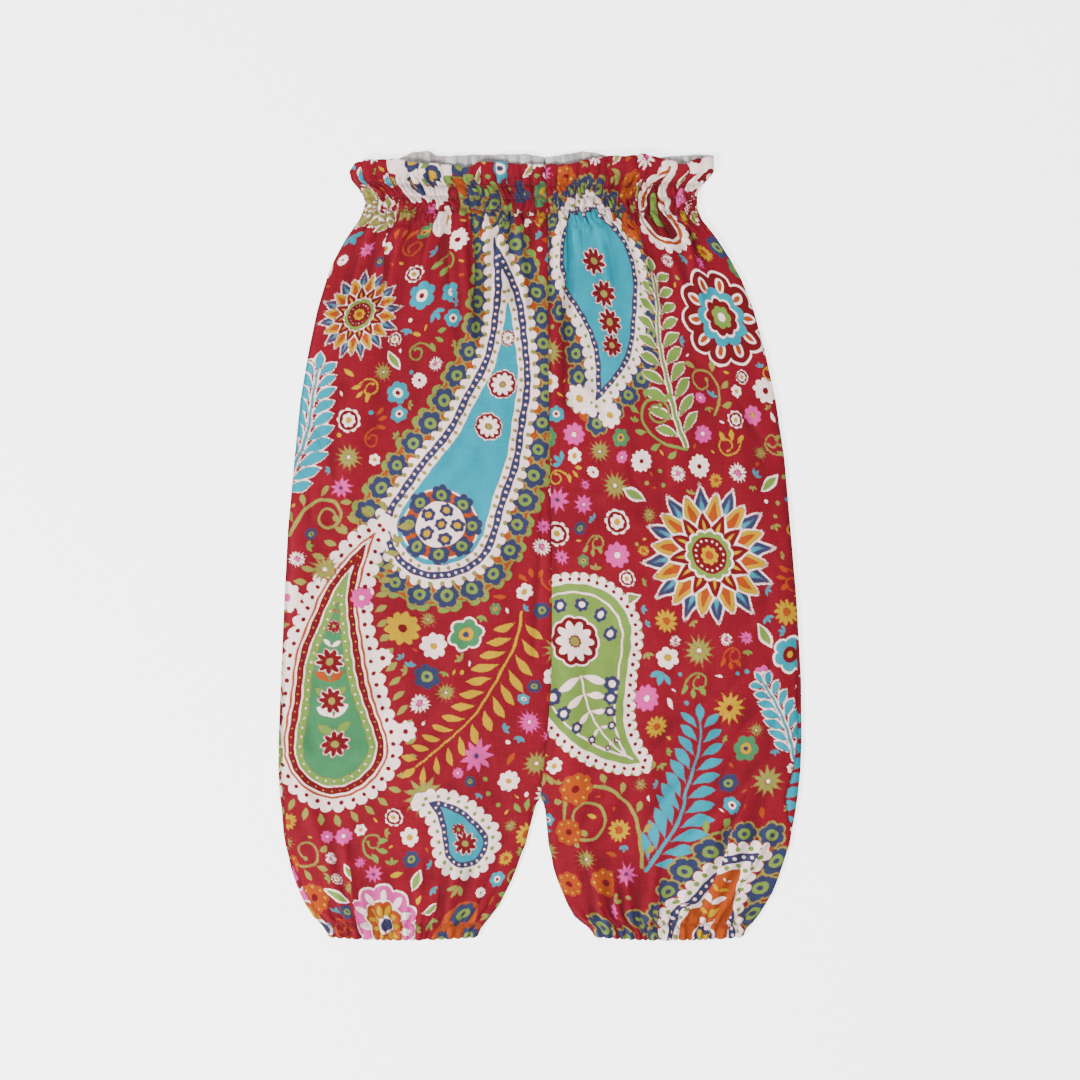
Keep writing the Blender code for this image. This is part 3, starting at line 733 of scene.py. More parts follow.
# ---------------------------------------------------------------- paisleys
def spine(x, y, heading, length, bend, radius, power, taper):
    """A paisley's middle line from its bulb to its curled tip, and its half width there."""
    xs, ys, facing = walk(x, y, heading, length, bend, power, 70)
    share = np.linspace(0.0, 1.0, len(xs))
    return xs, ys, facing, radius * (1.0 - share) ** taper


def ring_round(shape, inset):
    """The closed line that lies inset from a paisley's edge: out along one side, back along
    the other and round the bulb, as the envelope of the discs along the spine."""
    xs, ys, facing, half = shape
    kept = half - inset > 0.3
    xs, ys, facing, half = xs[kept], ys[kept], facing[kept], half[kept] - inset
    if len(xs) < 3:
        return xs, ys
    step = np.hypot(np.diff(xs), np.diff(ys)).mean()
    open_by = np.arccos(np.clip(-np.gradient(half) / step, -0.95, 0.95))
    turn = np.linspace(facing[0] + open_by[0], facing[0] + TAU - open_by[0], 40)
    left = away(xs, ys, facing + open_by, half)
    bulb = away(xs[0], ys[0], turn, half[0])
    right = away(xs, ys, facing - open_by, half)
    return [np.concatenate((a[::-1], b, c)) for a, b, c in zip(left, bulb, right)]


def fill(cloth, shape, inset, ink):
    """The paisley inside a line inset from its edge, filled."""
    xs, ys, _, half = shape
    kept = half - inset > 0.2
    if kept.sum() > 1:
        stroke(cloth, xs[kept], ys[kept], half[kept] - inset, ink)


def dots_round(cloth, shape, inset, ink, pitch, radius):
    """Discs a pitch apart round a paisley."""
    for a, b, _ in zip(*evenly(*ring_round(shape, inset), pitch)):
        dot(cloth, a, b, radius, ink)


def blossoms_round(cloth, shape, inset, radius, pitch, *inks):
    """Blossoms a pitch apart round a paisley, some a little larger than others."""
    for k, (a, b, face) in enumerate(zip(*evenly(*ring_round(shape, inset), pitch))):
        blossom(cloth, a, b, radius * (1.0 + 0.08 * np.sin(5.0 * k)), *inks, turn=face)


def fringe(cloth, shape, inset, length, ink, pitch, slant):
    """Short leaves that stand out from a line round a paisley, all slanting one way."""
    for a, b, face in zip(*evenly(*ring_round(shape, inset), pitch)):
        leaf(cloth, a, b, face - 0.5 * np.pi + slant, length, 0.22 * length, ink, 1.1)


def flowers_up(cloth, shape, places, rings, room, most):
    """Flowers along a paisley's middle line, as large as fit between bands of this room."""
    xs, ys, _, half = shape
    for k in places:
        size = min(half[k] - room, most)
        if size > 2.4:
            flower(cloth, xs[k], ys[k], size, rings, 0.4 * k)


def leaves_up(cloth, shape, room, size, inks, step):
    """Pairs of small leaves up a paisley's middle line, in the inks by turns."""
    xs, ys, facing, half = shape
    for k in range(3, len(xs) - 8, step):
        grown = min(size, 0.9 * (half[k] - room))
        if grown > 2.0:
            for side in (-1.0, 1.0):
                leaf(cloth, xs[k], ys[k], facing[k] + side * 0.85, grown, 0.2 * grown,
                     inks[(k // step) % len(inks)], 1.1, -side * 0.2)


# A paisley is bands from its edge inwards: maker, inset, then what the maker takes.
GREAT = (
    (fill, -1.2, "lime"), (blossoms_round, 3.2, 9.4, 16, "lime", None, None),
    (fill, 0, "orange"), (blossoms_round, 4.2, 7.3, 16, "navy", "lime", "navy", "olive"),
    (fill, 10.6, "white"), (dots_round, 10.8, "white", 7, 2.6),
    (dots_round, 11.3, "olive", 7, 1.35), (fill, 14.2, "navy"),
    (dots_round, 16.2, "white", 4.2, 0.95), (fill, 18.4, "white"),
    (dots_round, 20.2, "olive", 6, 1.1), (fill, 22.4, "turquoise"),
)
LACE = (
    (fringe, -4, 8.5, "olive", 9, 0.4), (dots_round, 0.4, "white", 7.4, 3.6),
    (fill, 0, "white"), (dots_round, 2.2, "maroon", 7.4, 1.3), (fill, 5.2, "orange"),
    (fill, 6.4, "white"), (fill, 7.8, "maroon"), (dots_round, 9.4, "yellow", 5, 0.7),
    (fill, 11.4, "white"), (fill, 12.6, "lime"), (dots_round, 15, "white", 5.5, 0.8),
    (fill, 16.8, "sage"),
)
HEART = (
    (dots_round, 0.2, "white", 6.6, 3), (fill, 0, "white"),
    (dots_round, 2.4, "lime", 6.6, 1.1), (fill, 5, "navy"),
    (dots_round, 6.6, "white", 4, 0.85), (fill, 8.4, "turquoise"),
)
LEAFY = (
    (fill, -0.8, "olive"), (dots_round, 1.2, "white", 6, 2.7), (fill, 1.2, "white"),
    (dots_round, 2.8, "maroon", 6, 1.15), (fill, 5.8, "lime"),
    (fill, 10.2, "white"), (fill, 11.7, "lime"),
)
RIBBON = (
    (blossoms_round, -5.5, 7.6, 15.4, "navy", "lime", "navy", "olive"),
    (fill, 0, "orange"), (dots_round, 1.6, "white", 6.4, 2.8),
    (fill, 1.6, "white"), (dots_round, 3.6, "lime", 6.4, 1.3), (fill, 6.2, "navy"),
    (dots_round, 8.6, "white", 4.4, 1.1), (fill, 11, "white"),
    (dots_round, 13, "lime", 6, 1.2), (fill, 15, "orange"),
)
SMALL_BANDS = (
    (dots_round, 0, "white", 6, 2.8), (fill, 0, "white"), (fill, 2.4, "orange"),
    (fill, 4, "white"), (fill, 5.6, "maroon"),
)


def great_paisley(cloth, *shape_of):
    """Blossoms on rust, lace, a dotted navy band, lace again, then turquoise with wheels up it
    and a rosette of blossoms in its bulb."""
    shape = spine(*shape_of, 1.9, 0.8)
    draw(cloth, GREAT, shape)
    flowers_up(cloth, shape, (19, 27, 35, 42), WHEEL, 22.0, 8.2)
    x, y, radius = shape[0][0], shape[1][0], shape_of[-1]
    dot(cloth, x, y, 0.47 * radius, "white")
    dot(cloth, x, y, 0.44 * radius, "orange")
    blossom_ring(cloth, x, y, 0.385 * radius, 8, 6.6)
    dot(cloth, x, y, 0.3 * radius, "white")
    blossom_ring(cloth, x, y, 0.2 * radius, 5, 4.3, "navy", "yellow", None)
    blossom(cloth, x, y, 3.8, "navy", "yellow", None)


def heart_paisley(cloth, *shape_of):
    """White lace, a dotted navy band and a turquoise body with daisies."""
    shape = spine(*shape_of, 1.6, 0.87)
    draw(cloth, HEART, shape)
    flowers_up(cloth, shape, (1, 15, 27, 37), DAISIES, 11.0, 9.0)


def ringed_heart(cloth, *shape_of):
    """The same on a ring of navy blossoms on rust."""
    shape = spine(*shape_of, 1.6, 0.87)
    fill(cloth, shape, -4.5, "orange")
    blossoms_round(cloth, shape, -7.0, 6.9, 14.4, "navy", "lime", "navy", "olive")
    heart_paisley(cloth, *shape_of)


def lace_paisley(cloth, *shape_of):
    """A fringe, lace, lines and a leafy green body with blossoms up it."""
    shape = spine(*shape_of, 2.0, 0.8)
    draw(cloth, LACE, shape)
    leaves_up(cloth, shape, 15.0, 13.0, ("lime", "white", "lime", "orange"), 5)
    flowers_up(cloth, shape, (1, 13, 24, 34), DAISIES, 16.0, 8.6)


def leafy_paisley(cloth, *shape_of):
    """White lace round a lime body, lined in white, with a wheel in its bulb and navy
    blossoms and white leaves up it."""
    shape = spine(*shape_of, 1.6, 0.8)
    draw(cloth, LEAFY, shape)
    xs, ys, facing, half = shape
    flower(cloth, xs[0], ys[0], 0.36 * half[0], WHEEL)
    for turn in np.linspace(1.7, 4.6, 6):
        blossom(cloth, *away(xs[0], ys[0], facing[0] + turn, 0.56 * half[0]), 0.11 * half[0],
                "navy", "white", None)
    stroke(cloth, xs[15:60], ys[15:60], 0.7, "white")
    for k in range(15, 56, 8):
        reach = half[k] - 12.0
        if reach > 3.0:
            for side in (-1.0, 1.0):
                out = facing[k] + side * 1.15
                leaf(cloth, xs[k], ys[k], out, 0.75 * reach, 0.13 * reach, "white", 1.2)
                blossom(cloth, *away(xs[k], ys[k], out, 0.9 * reach), 0.2 * reach + 1.0,
                        "navy", "white", None)


def small_paisley(cloth, *shape_of):
    """White scallops and four plain bands, with a lime leaf up the middle."""
    shape = spine(*shape_of, 1.6, 0.9)
    draw(cloth, SMALL_BANDS, shape)
    leaf(cloth, shape[0][0], shape[1][0] - 5.0, shape[2][0], 20.0, 3.4, "lime")


def ribbon_paisley(cloth, *shape_of):
    """Blossoms, lace, a dotted navy ribbon and a rust body."""
    shape = spine(*shape_of, 1.5, 0.75)
    draw(cloth, RIBBON, shape)
    blossom(cloth, shape[0][0], shape[1][0] + 4.0, 9.0, "navy", "lime", "navy", "white")
    leaves_up(cloth, shape, 17.0, 9.0, ("yellow", "white"), 7)


# ---------------------------------------------------------------- composition
PRINT_TOP = 238.0          # the lattice of filling motifs hangs from this height, mm
PRINT_LENGTH = 476.0
BARE = -0.7                # ground is bare where every ink is this far off, mm


def is_bare(cloth, x, y, radius):
    """True where no ink comes within the radius."""
    index, dx, dy = cloth.near(x, y, radius)
    index = index[np.hypot(dx, dy) < radius]
    return len(index) > 2 and max(held[index].max() for held in cloth.inks.values()) < BARE


def curl(cloth, x, y, size, turn, kind):
    """A thin scroll with a few buds, that fits in a circle of this size."""
    ink = ("orange", "yellow", "olive", "orange", "lime")[kind % 5]
    start = turn + np.pi
    scroll(cloth, *away(x, y, start, 0.7 * size), np.rad2deg(turn) + 30.0, 2.9 * size,
           -430.0 if kind % 2 else 430.0, ink, 0.5, 1.6)
    for bud in (-0.5, 0.1, 0.7):
        out = start + bud + 0.6
        leaf(cloth, *away(x, y, out, 0.45 * size), out, 0.55 * size, 0.11 * size, ink, 1.2)


def sprig(cloth, x, y, size, turn, kind):
    """A dot, a teardrop or three teardrops side by side."""
    ink = ("white", "olive", "yellow", "lime", "orange", "turquoise")[kind % 6]
    if kind % 7 == 0:
        dot(cloth, x, y, 1.35, ink)
        return
    for spread in ((0.0,), (-0.9, 0.0, 0.9))[kind % 2]:
        leaf(cloth, *away(x, y, turn, -0.8 * size), turn + spread, 1.6 * size, 0.3 * size, ink, 1.2)


def small_flower(cloth, x, y, size, turn, kind):
    """One of the small flowers, that fits in a circle of this size."""
    flower(cloth, x, y, 0.92 * size, SMALL[kind % len(SMALL)], turn)


def fill_gaps(cloth, maker, radius, pitch, seed):
    """Small motifs on a jittered lattice, wherever the ground is still bare. Jitter, size and
    kind are fractions of the place's number times an irrational one."""
    on_cloth = cloth.across[cloth.across < OFF_THE_CLOTH]
    left, right = on_cloth.min(), on_cloth.max()
    columns = int((right - left) / pitch) + 1
    for number in range(columns * int(PRINT_LENGTH / pitch)):
        jitter = np.mod((number + seed) * np.array((0.618034, 0.754878)), 1.0) - 0.5
        x = left + (number % columns + 0.5 + 0.7 * jitter[0]) * pitch
        y = PRINT_TOP - (number // columns + 0.5 + 0.7 * jitter[1]) * pitch
        size = radius * (0.85 + 0.3 * np.mod(number * 0.381966, 1.0))
        if is_bare(cloth, x, y, size):
            kind = int(7919 * np.mod(number * 0.618034 + 0.1 * seed, 1.0))
            maker(cloth, x, y, size, 0.37 * x + 0.73 * y, kind)


# Filling motifs from the largest to the smallest: maker, radius, pitch
FILLING = (
    (curl, 12.5, 17), (small_flower, 8.6, 13), (small_flower, 6.2, 11), (sprig, 5, 12),
    (small_flower, 4.2, 9), (sprig, 2.6, 8),
)


def fill_the_ground(cloth, seed):
    """Filling motifs in passes over what is still bare."""
    for maker, radius, pitch in FILLING:
        fill_gaps(cloth, maker, radius, pitch, seed)


# The four prints, in the order they are printed: what comes later lies over what came before.
# Places and sizes are mm on the pants laid flat. Headings and bends are in degrees, turns and a
# leaf's heading in radians. A paisley's row is x, y, heading, length, bend and radius.
RIGHT_FRONT = (
    # white ground with navy blossoms at the frill
    (each, dot, ((-96, 236, 16), (-82, 226, 14), (-100, 218, 13), (-72, 240, 12),
                 (-112, 232, 9), (-86, 212, 9)), "white"),
    (each, blossom, ((-99, 230, 7.5), (-84, 221, 7), (-72, 235, 6.2), (-102, 214, 6),
                     (-88, 240, 6.5), (-113, 236, 4.5)), "navy", "yellow", None),
    (each, leaf, ((-92, 224, 0.8), (-77, 226, 2), (-92, 212, 1.4)), 6.5, 1.5, "lime", 1.1),
    (frond, -118, 190, 148, 44, 20, 13, "olive", 7, 0.8, 1.5, 0.15, 0.9, "white"),
    (each, twin_leaf, ((-126, 212, 60, 14), (-140, 214, 100, 13), (-120, 232, 130, 12)), "turquoise"),
    (great_paisley, -60, 12, 62, 236, 96, 47), (lace_paisley, -116, -122, 98, 150, -62, 35),
    (flower, -120, 138, 27, DAHLIA, 0.2),
    (each, twin_leaf, ((-148, 160, 120, 16), (-98, 116, -50, 15), (-144, 112, 220, 15)), "lime"),
    # beside the great paisley
    (frond, -156, 28, 64, 78, 30, 20, "turquoise", 8, 1, 1.6, 0.14, 0.85, "white"),
    (scroll, -148, 6, 70, 84, -540, "olive", 1.1, 2, 5),
    (star, -126, -14, 8, "olive"), (star, -34, -126, 10, "pink", "navy", 9),
    (star, -64, -150, 11, "olive", "white", 11), (star, -6, -106, 7, "pink"),
    (daisy, -80, -50, 10.5, "yellow", "maroon", 10), (daisy, -62, -60, 8, "white", "yellow", 8),
    (daisy, -92, -68, 6, "white", "maroon", 8), (daisy, -148, -32, 9.5, "white", "pink", 9),
    (daisy, -104, -32, 6.5, "pink", "white", 8), (daisy, -76, -112, 6.5, "white", "maroon", 8),
    (daisy, -14, -142, 6.5, "white", "yellow", 8),
    (blossom, -44, -54, 9, "sage", "yellow", "navy", "white"),
    # inner leg
    (frond, -12, -40, -100, 112, -44, 17, "yellow", 9, 0.8, 3, 0.115, 1),
    (heart_paisley, -34, -180, 118, 48, 70, 19),
    # ankle
    (flower, -86, -228, 25, ZINNIA, 0.3),
    (each, twin_leaf, ((-112, -214, 155, 17), (-104, -204, 115, 15), (-66, -208, 70, 15),
                       (-58, -220, 20, 14)), "lime"),
    (each, dot, ((-24, -226, 12), (-12, -238, 12), (-36, -238, 10)), "orange"),
    (each, blossom, ((-24, -222, 7.5), (-12, -234, 7), (-36, -236, 6.5)), "navy", "lime"),
    (scroll, -150, -178, -70, 62, 420, "olive", 0.8, 1.8, 5),
    (each, flower, ((-134, -212, 8.5), (-146, -192, 7)), BEADED),
    # waist
    (blossom, -62, 228, 7.5, "navy", "lime", "navy"),
    (blossom, -46, 236, 6.5, "white", "maroon", None),
    (blossom, -30, 226, 7.5, "turquoise", "white", "navy"),
    (blossom, -14, 212, 7, "navy", "lime", "navy"),
    (blossom, -2, 232, 7.5, "white", "orange", None),
    (each, twin_leaf, ((-52, 216, 57, 12), (-26, 238, 120, 12), (-10, 222, 40, 12)), "olive"),
    (fill_the_ground, 3),
)
LEFT_FRONT = (
    (ringed_heart, 40, 172, -74, 100, -66, 36), (small_paisley, 112, 194, 100, 40, -60, 17),
    (each, flower, ((84, 216, 9), (78, 190, 8), (20, 220, 8)), BEADED),
    (each, twin_leaf, ((64, 228, 57, 13), (94, 206, 97, 13), (134, 212, 109, 13),
                       (34, 230, 74, 13), (148, 190, 60, 13)), "olive"),
    (each, dot, ((140, 236, 13), (153, 222, 12), (127, 241, 9)), "white"),
    (each, lobes, ((140, 234, 5.4), (153, 220, 5.4), (128, 238, 3.4)), 9, "maroon", 0, 0.1),
    (each, dot, ((140, 234, 2.4), (153, 220, 2.4)), "white"), (flower, 130, 136, 30, ROUND),
    # middle
    (frond, 92, 60, 110, 104, -36, 18, "lime", 10.4, 1, 2.4, 0.125, 0.95, "white"),
    (scroll, 112, 78, 60, 62, 420, "olive", 0.8, 2, 4),
    (scroll, 92, 58, 172, 96, -560, "lime", 0.9, 2, 6),
    (daisy, 22, 88, 9.5, "white", "yellow", 9), (daisy, 42, 78, 8, "white", "yellow", 8),
    (daisy, 18, 66, 7, "pink", "white", 9), (daisy, 150, 92, 8, "white", "maroon", 9),
    (daisy, 138, 78, 6, "pink", "yellow", 8), (daisy, 60, -92, 8, "pink", "white", 10),
    (star, 44, 36, 8, "olive"), (star, 22, 24, 6, "pink", "white", 9),
    (star, 112, -98, 9.5, "yellow", "maroon", 12), (star, 136, -142, 9, "olive", "white", 11),
    (blossom, 150, -66, 10, "turquoise", "maroon", "yellow", "white"),
    (blossom, 132, -78, 6.5, "pink", "white", "maroon"), (flower, 102, -6, 43, DAHLIA, 0.1),
    (each, twin_leaf, ((64, 26, 150, 18), (58, -30, 200, 17), (130, -46, -60, 18),
                       (138, 32, 40, 17)), "lime"),
    (leafy_paisley, 16, -58, -84, 98, 78, 41),
    # lower leg
    (frond, 152, -128, 102, 50, 25, 14, "turquoise", 7.6, 0.8, 1.4, 0.14, 0.85, "white"),
    (frond, 64, -196, 52, 96, 40, 21, "turquoise", 8.6, 1.1, 2.6, 0.14, 0.88),
    (scroll, 62, -194, 92, 176, 620, "olive", 1.2, 1.9, 9),
    (scroll, 92, -180, 40, 66, -500, "lime", 0.7, 2, 4),
    (each, flower, ((22, -146, 9.5), (16, -172, 8), (36, -202, 8.5), (14, -204, 7.5)), BEADED),
    (ribbon_paisley, 108, -240, 86, 72, -70, 37),
    (each, blossom, ((22, -230, 8), (40, -236, 7.5), (56, -226, 7)), "navy", "lime", "navy", "olive"),
    (fill_the_ground, 8),
)
RIGHT_BACK = (
    (great_paisley, -46, -96, 118, 226, -88, 45), (ringed_heart, -112, 190, -66, 84, 60, 30),
    (lace_paisley, -24, 120, 72, 92, 66, 29),
    (frond, -148, -30, 84, 96, -30, 24, "turquoise", 9.5, 1.2, 1.6, 0.14, 0.85, "white"),
    (frond, -124, -214, 70, 84, 30, 22, "yellow", 8.6, 1, 2.4, 0.14, 0.85),
    (scroll, -96, -200, 50, 150, -620, "olive", 1.2, 2, 7), (flower, -42, -214, 27, DAHLIA),
    (flower, -128, 106, 23, ROUND),
    (each, flower, ((-140, -120, 9), (-122, -140, 9), (-146, -146, 8)), BEADED),
    (fill_the_ground, 13),
)
LEFT_BACK = (
    (leafy_paisley, 112, 20, -100, 120, -70, 40), (great_paisley, 48, 60, 100, 200, -80, 42),
    (ringed_heart, 122, -206, 100, 84, 60, 28), (flower, 44, -112, 38, DAHLIA),
    (flower, 132, 170, 26, ZINNIA),
    (frond, 30, -214, 60, 92, 40, 24, "yellow", 8.8, 1.1, 2.4, 0.14, 0.85),
    (scroll, 20, -10, -40, 130, 600, "olive", 1.2, 2, 7),
    (frond, 94, 120, 80, 80, -30, 17, "turquoise", 9.6, 1, 2, 0.125, 0.9, "white"),
    (each, flower, ((140, 90, 9), (148, 70, 8), (24, -180, 8)), BEADED), (fill_the_ground, 21),
)


# ---------------------------------------------------------------- meshes
PAINTED_SHADE_IN_THE_SHIRRING = 0.35     # least painted shade between puckers, which are finer than drawn
# The centre seam's turnings lie under the right leg, which stands proud of the left there, and
# painted shade stands for the shadow beside it: least painted shade at the seam, and how far it
# reaches, mm
SEAM_PAINTED_SHADE = {"right_leg": (0.22, 2.0), "left_leg": (0.5, 5.0)}
# Hollowness is felt over these distances: columns or rows, depth in mm that counts as full, axis
HOLLOWS = ((2, 0.35, 1), (4, 0.6, 1), (9, 1.1, 1), (2, 0.5, 0), (4, 0.9, 0))


def border_of(count_down, count_across):
    """The grid's border, anticlockwise seen from above: down the left, along the foot, up the
    right and back along the top."""
    index = np.arange(count_down * count_across).reshape(count_down, count_across)
    return np.concatenate((index[:-1, 0], index[-1, :-1], index[:0:-1, -1], index[0, :0:-1]))


def border_share(rows, shares):
    """How far round the border each point is, one unit a side."""
    down = (rows - rows[0]) / (rows[-1] - rows[0])
    return np.concatenate((down[:-1], 1.0 + shares[:-1], 2.0 + (1.0 - down[:0:-1]),
                           3.0 + (1.0 - shares[:0:-1])))


def grid_faces(count_down, count_across, start=0):
    """Quads of a grid, facing up where the rows run towards -Y and the columns towards +X."""
    index = start + np.arange(count_down * count_across).reshape(count_down, count_across)
    return np.stack((index[:-1, :-1], index[1:, :-1], index[1:, 1:], index[:-1, 1:]),
                    axis=-1).reshape(-1, 4)


def band_faces(first, second):
    """Quads between two closed loops of the same count, along the last axis."""
    return np.stack((first, second, np.roll(second, -1, axis=-1), np.roll(first, -1, axis=-1)),
                    axis=-1).reshape(-1, 4)


def fan_faces(fine, fine_share, coarse, coarse_share):
    """Triangles between two closed loops of different counts, matched by how far round."""
    coarse_at = np.searchsorted(coarse_share, fine_share, side="right") - 1
    fine_at = np.roll(np.searchsorted(fine_share, coarse_share, side="left"), -1) % len(fine)
    upper = np.stack((fine, coarse[coarse_at], np.roll(fine, -1)), axis=-1)
    lower = np.stack((fine[fine_at], coarse, np.roll(coarse, -1)), axis=-1)
    return np.concatenate((upper, lower))


def hollowness(height):
    """How far a point lies below the mean of those some columns or rows to each side, over
    several distances: the corners of the cloth that light hardly reaches, which the materials darken
    as painted shade."""
    total = np.zeros_like(height)
    for reach, deep, axis in HOLLOWS:
        pad = [(0, 0), (0, 0)]
        pad[axis] = (reach, reach)
        wide = np.pad(height, pad, mode="edge")
        index = np.arange(height.shape[axis])
        beside_it = np.take(wide, index + 2 * reach, axis) + np.take(wide, index, axis)
        total = np.maximum(total, (0.5 * beside_it - height) / deep)
    return np.clip(total, 0.0, 1.0)


def link(name, data, place=(0.0, 0.0, 0.0)):
    """A new object in the scene."""
    made = bpy.data.objects.new(name, data)
    made.location = place
    bpy.context.scene.collection.objects.link(made)
    return made


def mesh_object(name, points, quads, triangles, slots, materials, attributes):
    """A piece from arrays, with a material number a face and float attributes a point."""
    mesh = bpy.data.meshes.new(name)
    loops = np.concatenate((quads.ravel(), triangles.ravel())).astype(np.int32)
    sizes = np.concatenate((np.full(len(quads), 4), np.full(len(triangles), 3)))
    mesh.vertices.add(len(points))
    mesh.loops.add(len(loops))
    mesh.polygons.add(len(sizes))
    mesh.vertices.foreach_set("co", (points * MM).astype(np.float32).ravel())
    mesh.loops.foreach_set("vertex_index", loops)
    mesh.polygons.foreach_set("loop_start", np.cumsum(np.concatenate(((0,), sizes[:-1]))))
    for material in materials:
        mesh.materials.append(material)
    mesh.polygons.foreach_set("material_index", slots.astype(np.int32))
    mesh.update(calc_edges=True)
    mesh.polygons.foreach_set("use_smooth", np.ones(len(sizes), bool))
    for key, values in attributes.items():
        made = mesh.attributes.new(key, "FLOAT", "POINT")
        made.data.foreach_set("value", values.astype(np.float32))
    mesh.validate()
    made = link(name, mesh)
    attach(made, "root")
    return made


def rows_down(fine_frill, step):
    """Rows for lay_out: so many in the frill, then one each step to the hem."""
    below = FRILL_ROOT - HEM
    return np.concatenate((np.linspace(0.0, 1.0, fine_frill),
                           1.0 + np.linspace(0.0, below, int(round(below / step)) + 1)[1:]))


def as_points(x, y, z):
    """Three arrays as rows of x, y, z."""
    return np.stack((x, y, z), axis=-1).reshape(-1, 3)


def rim_points(x, y, high, low, leg):
    """The loops round a panel's rim, from its outer face to its inner one: half circles that
    stand out along the border's own normal, nearly flat at the centre seam."""
    ahead_x, ahead_y = (np.roll(place, -1) - np.roll(place, 1) for place in (x, y))
    size = np.hypot(ahead_x, ahead_y)
    at_seam = (np.abs(x - read(OUTLINE, y, leg["inner"])) < 0.6) & (y > CROTCH)
    bulge = np.where(at_seam, SEAM_ROUND, EDGE_ROUND)
    turns = np.linspace(0.0, np.pi, RIM_RINGS + 1)[1:]
    return [as_points(x + ahead_y / size * bulge * np.sin(turn),
                      y - ahead_x / size * bulge * np.sin(turn),
                      0.5 * (high + low) + 0.5 * (high - low) * np.cos(turn)) for turn in turns]


def panel(leg, layer, outer_grid, inner_grid, motifs, materials):
    """A thin closed wall: a fine printed face, a bulging rim and a coarser wrong side."""
    front = layer == "front"
    x, y, faces, across, down = lay_out(*outer_grid, leg, layer)
    ix, iy, inner_faces, _, _ = lay_out(*inner_grid, leg, layer)
    outer, inner, iz = ((faces[3], faces[2], inner_faces[2]) if front
                        else (faces[0], faces[1], inner_faces[1]))
    loop = border_of(*x.shape)
    first_inner = x.size + RIM_RINGS * len(loop)
    rim = rim_points(*(part.ravel()[loop] for part in (x, y, outer, inner)), leg)
    points = np.concatenate([as_points(x, y, outer), *rim, as_points(ix, iy, iz)])

    loops = [loop, *(x.size + np.arange(RIM_RINGS * len(loop)).reshape(RIM_RINGS, -1))]
    quads = np.concatenate([grid_faces(*x.shape), *map(band_faces, loops, loops[1:])])
    inner_quads = grid_faces(*ix.shape, start=first_inner)[:, ::-1]
    # the coarse face stops one row and column short of the rim, and a fan of triangles joins it
    fan = fan_faces(loops[-1], border_share(*outer_grid[::-1]),
                    first_inner + border_of(*ix.shape), border_share(*inner_grid[::-1]))
    slots = np.concatenate((np.zeros(len(quads)), np.ones(len(inner_quads) + len(fan))))
    if not front:
        # only the first band of the back's rim is printed
        slots[len(quads) - (RIM_RINGS - 1) * len(loop):] = 1.0
    quads = np.concatenate((quads, inner_quads))
    if not front:
        quads, fan = quads[:, ::-1], fan[:, ::-1]

    def at_points(on_outer, on_inner):
        """One value a point: the rim takes its own from the border."""
        return np.concatenate([on_outer.ravel(), *[on_outer.ravel()[loop]] * RIM_RINGS,
                               on_inner.ravel()])

    off = np.full(ix.size, 2.0 * OFF_THE_CLOTH)
    cloth = Print(at_points(across, off), at_points(down, off))
    draw(cloth, motifs)
    # painted shade: how much darker the colour is drawn in the cloth's hollows, between the puckers
    # and beside the centre seam
    painted_shade = np.maximum(hollowness(outer if front else -outer), PAINTED_SHADE_IN_THE_SHIRRING * shirred(y))
    if front:
        # painted shadow beside the centre seam, where the right leg stands proud of the left
        depth, reach = SEAM_PAINTED_SHADE[leg["name"]]
        inner_off = x - read(OUTLINE, y, leg["inner"])
        shade = depth * bell(inner_off, reach) * smooth(y, CROTCH, CROTCH + 20.0)
        painted_shade = np.maximum(painted_shade, shade)
    values = {"ink_" + ink: held for ink, held in cloth.inks.items()}
    values["painted_shade"] = at_points(painted_shade, hollowness(-iz if front else iz))
    made = mesh_object(f"{layer}_{leg['name']}_cloth", points, quads, fan, slots, materials, values)
    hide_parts(f"{layer}_{leg['name']}_panel")
    return made


# ---------------------------------------------------------------- materials
IN_HOLLOWS = 0.56          # share of the colour left in the deepest hollow by the painted shade
NOISE = (0.3, 0.7)         # the usual span of a noise
WEAVE = (0.7, 1.3)         # and of two added
# Scales of the patterns: marks a metre
YARN = 1500.0              # yarns 0.67 mm apart, coarser than the real 0.3 mm so that they show
SLUB = 90.0                # thick and thin places 11 mm long
CRUMPLE = 190.0            # soft crumples 5 mm across
CREPT_INK = 900.0          # wobbles of 1.1 mm in an ink's edge
INK_AND_SHADE_PATCHES = 15.0            # patches 67 mm across, with finer ones in them: partly uneven ink, partly painted soft shading
BLOT = 120.0               # blots of 8 mm
TWIST = 700.0              # a thread's slanting bands, ten times as many: 0.5 mm apart


def linear(hex_colour):
    """sRGB hex to the linear colour that a shader takes."""
    channels = [int(hex_colour[i:i + 2], 16) / 255.0 for i in (0, 2, 4)]
    return [c / 12.92 if c <= 0.04045 else ((c + 0.055) / 1.055) ** 2.4 for c in channels] + [1.0]


def fill_in(tree, node, inputs):
    """Fills a node's inputs, by name or in order, with values or other nodes' outputs."""
    for key, value in inputs.items() if isinstance(inputs, dict) else enumerate(inputs):
        if isinstance(value, bpy.types.NodeSocket):
            tree.links.new(value, node.inputs[key])
        else:
            node.inputs[key].default_value = value


def add_node(tree, kind, inputs=(), output=0, **settings):
    """Adds a node, sets it, fills its inputs and returns one of its outputs."""
    made = tree.nodes.new("ShaderNode" + kind)
    for name, value in settings.items():
        setattr(made, name, value)
    fill_in(tree, made, inputs)
    return made.outputs[output]


def new_material(name):
    """A material, its node tree and its Principled shader."""
    made = bpy.data.materials.new(name)
    made.use_nodes = True
    return made, made.node_tree, made.node_tree.nodes["Principled BSDF"]


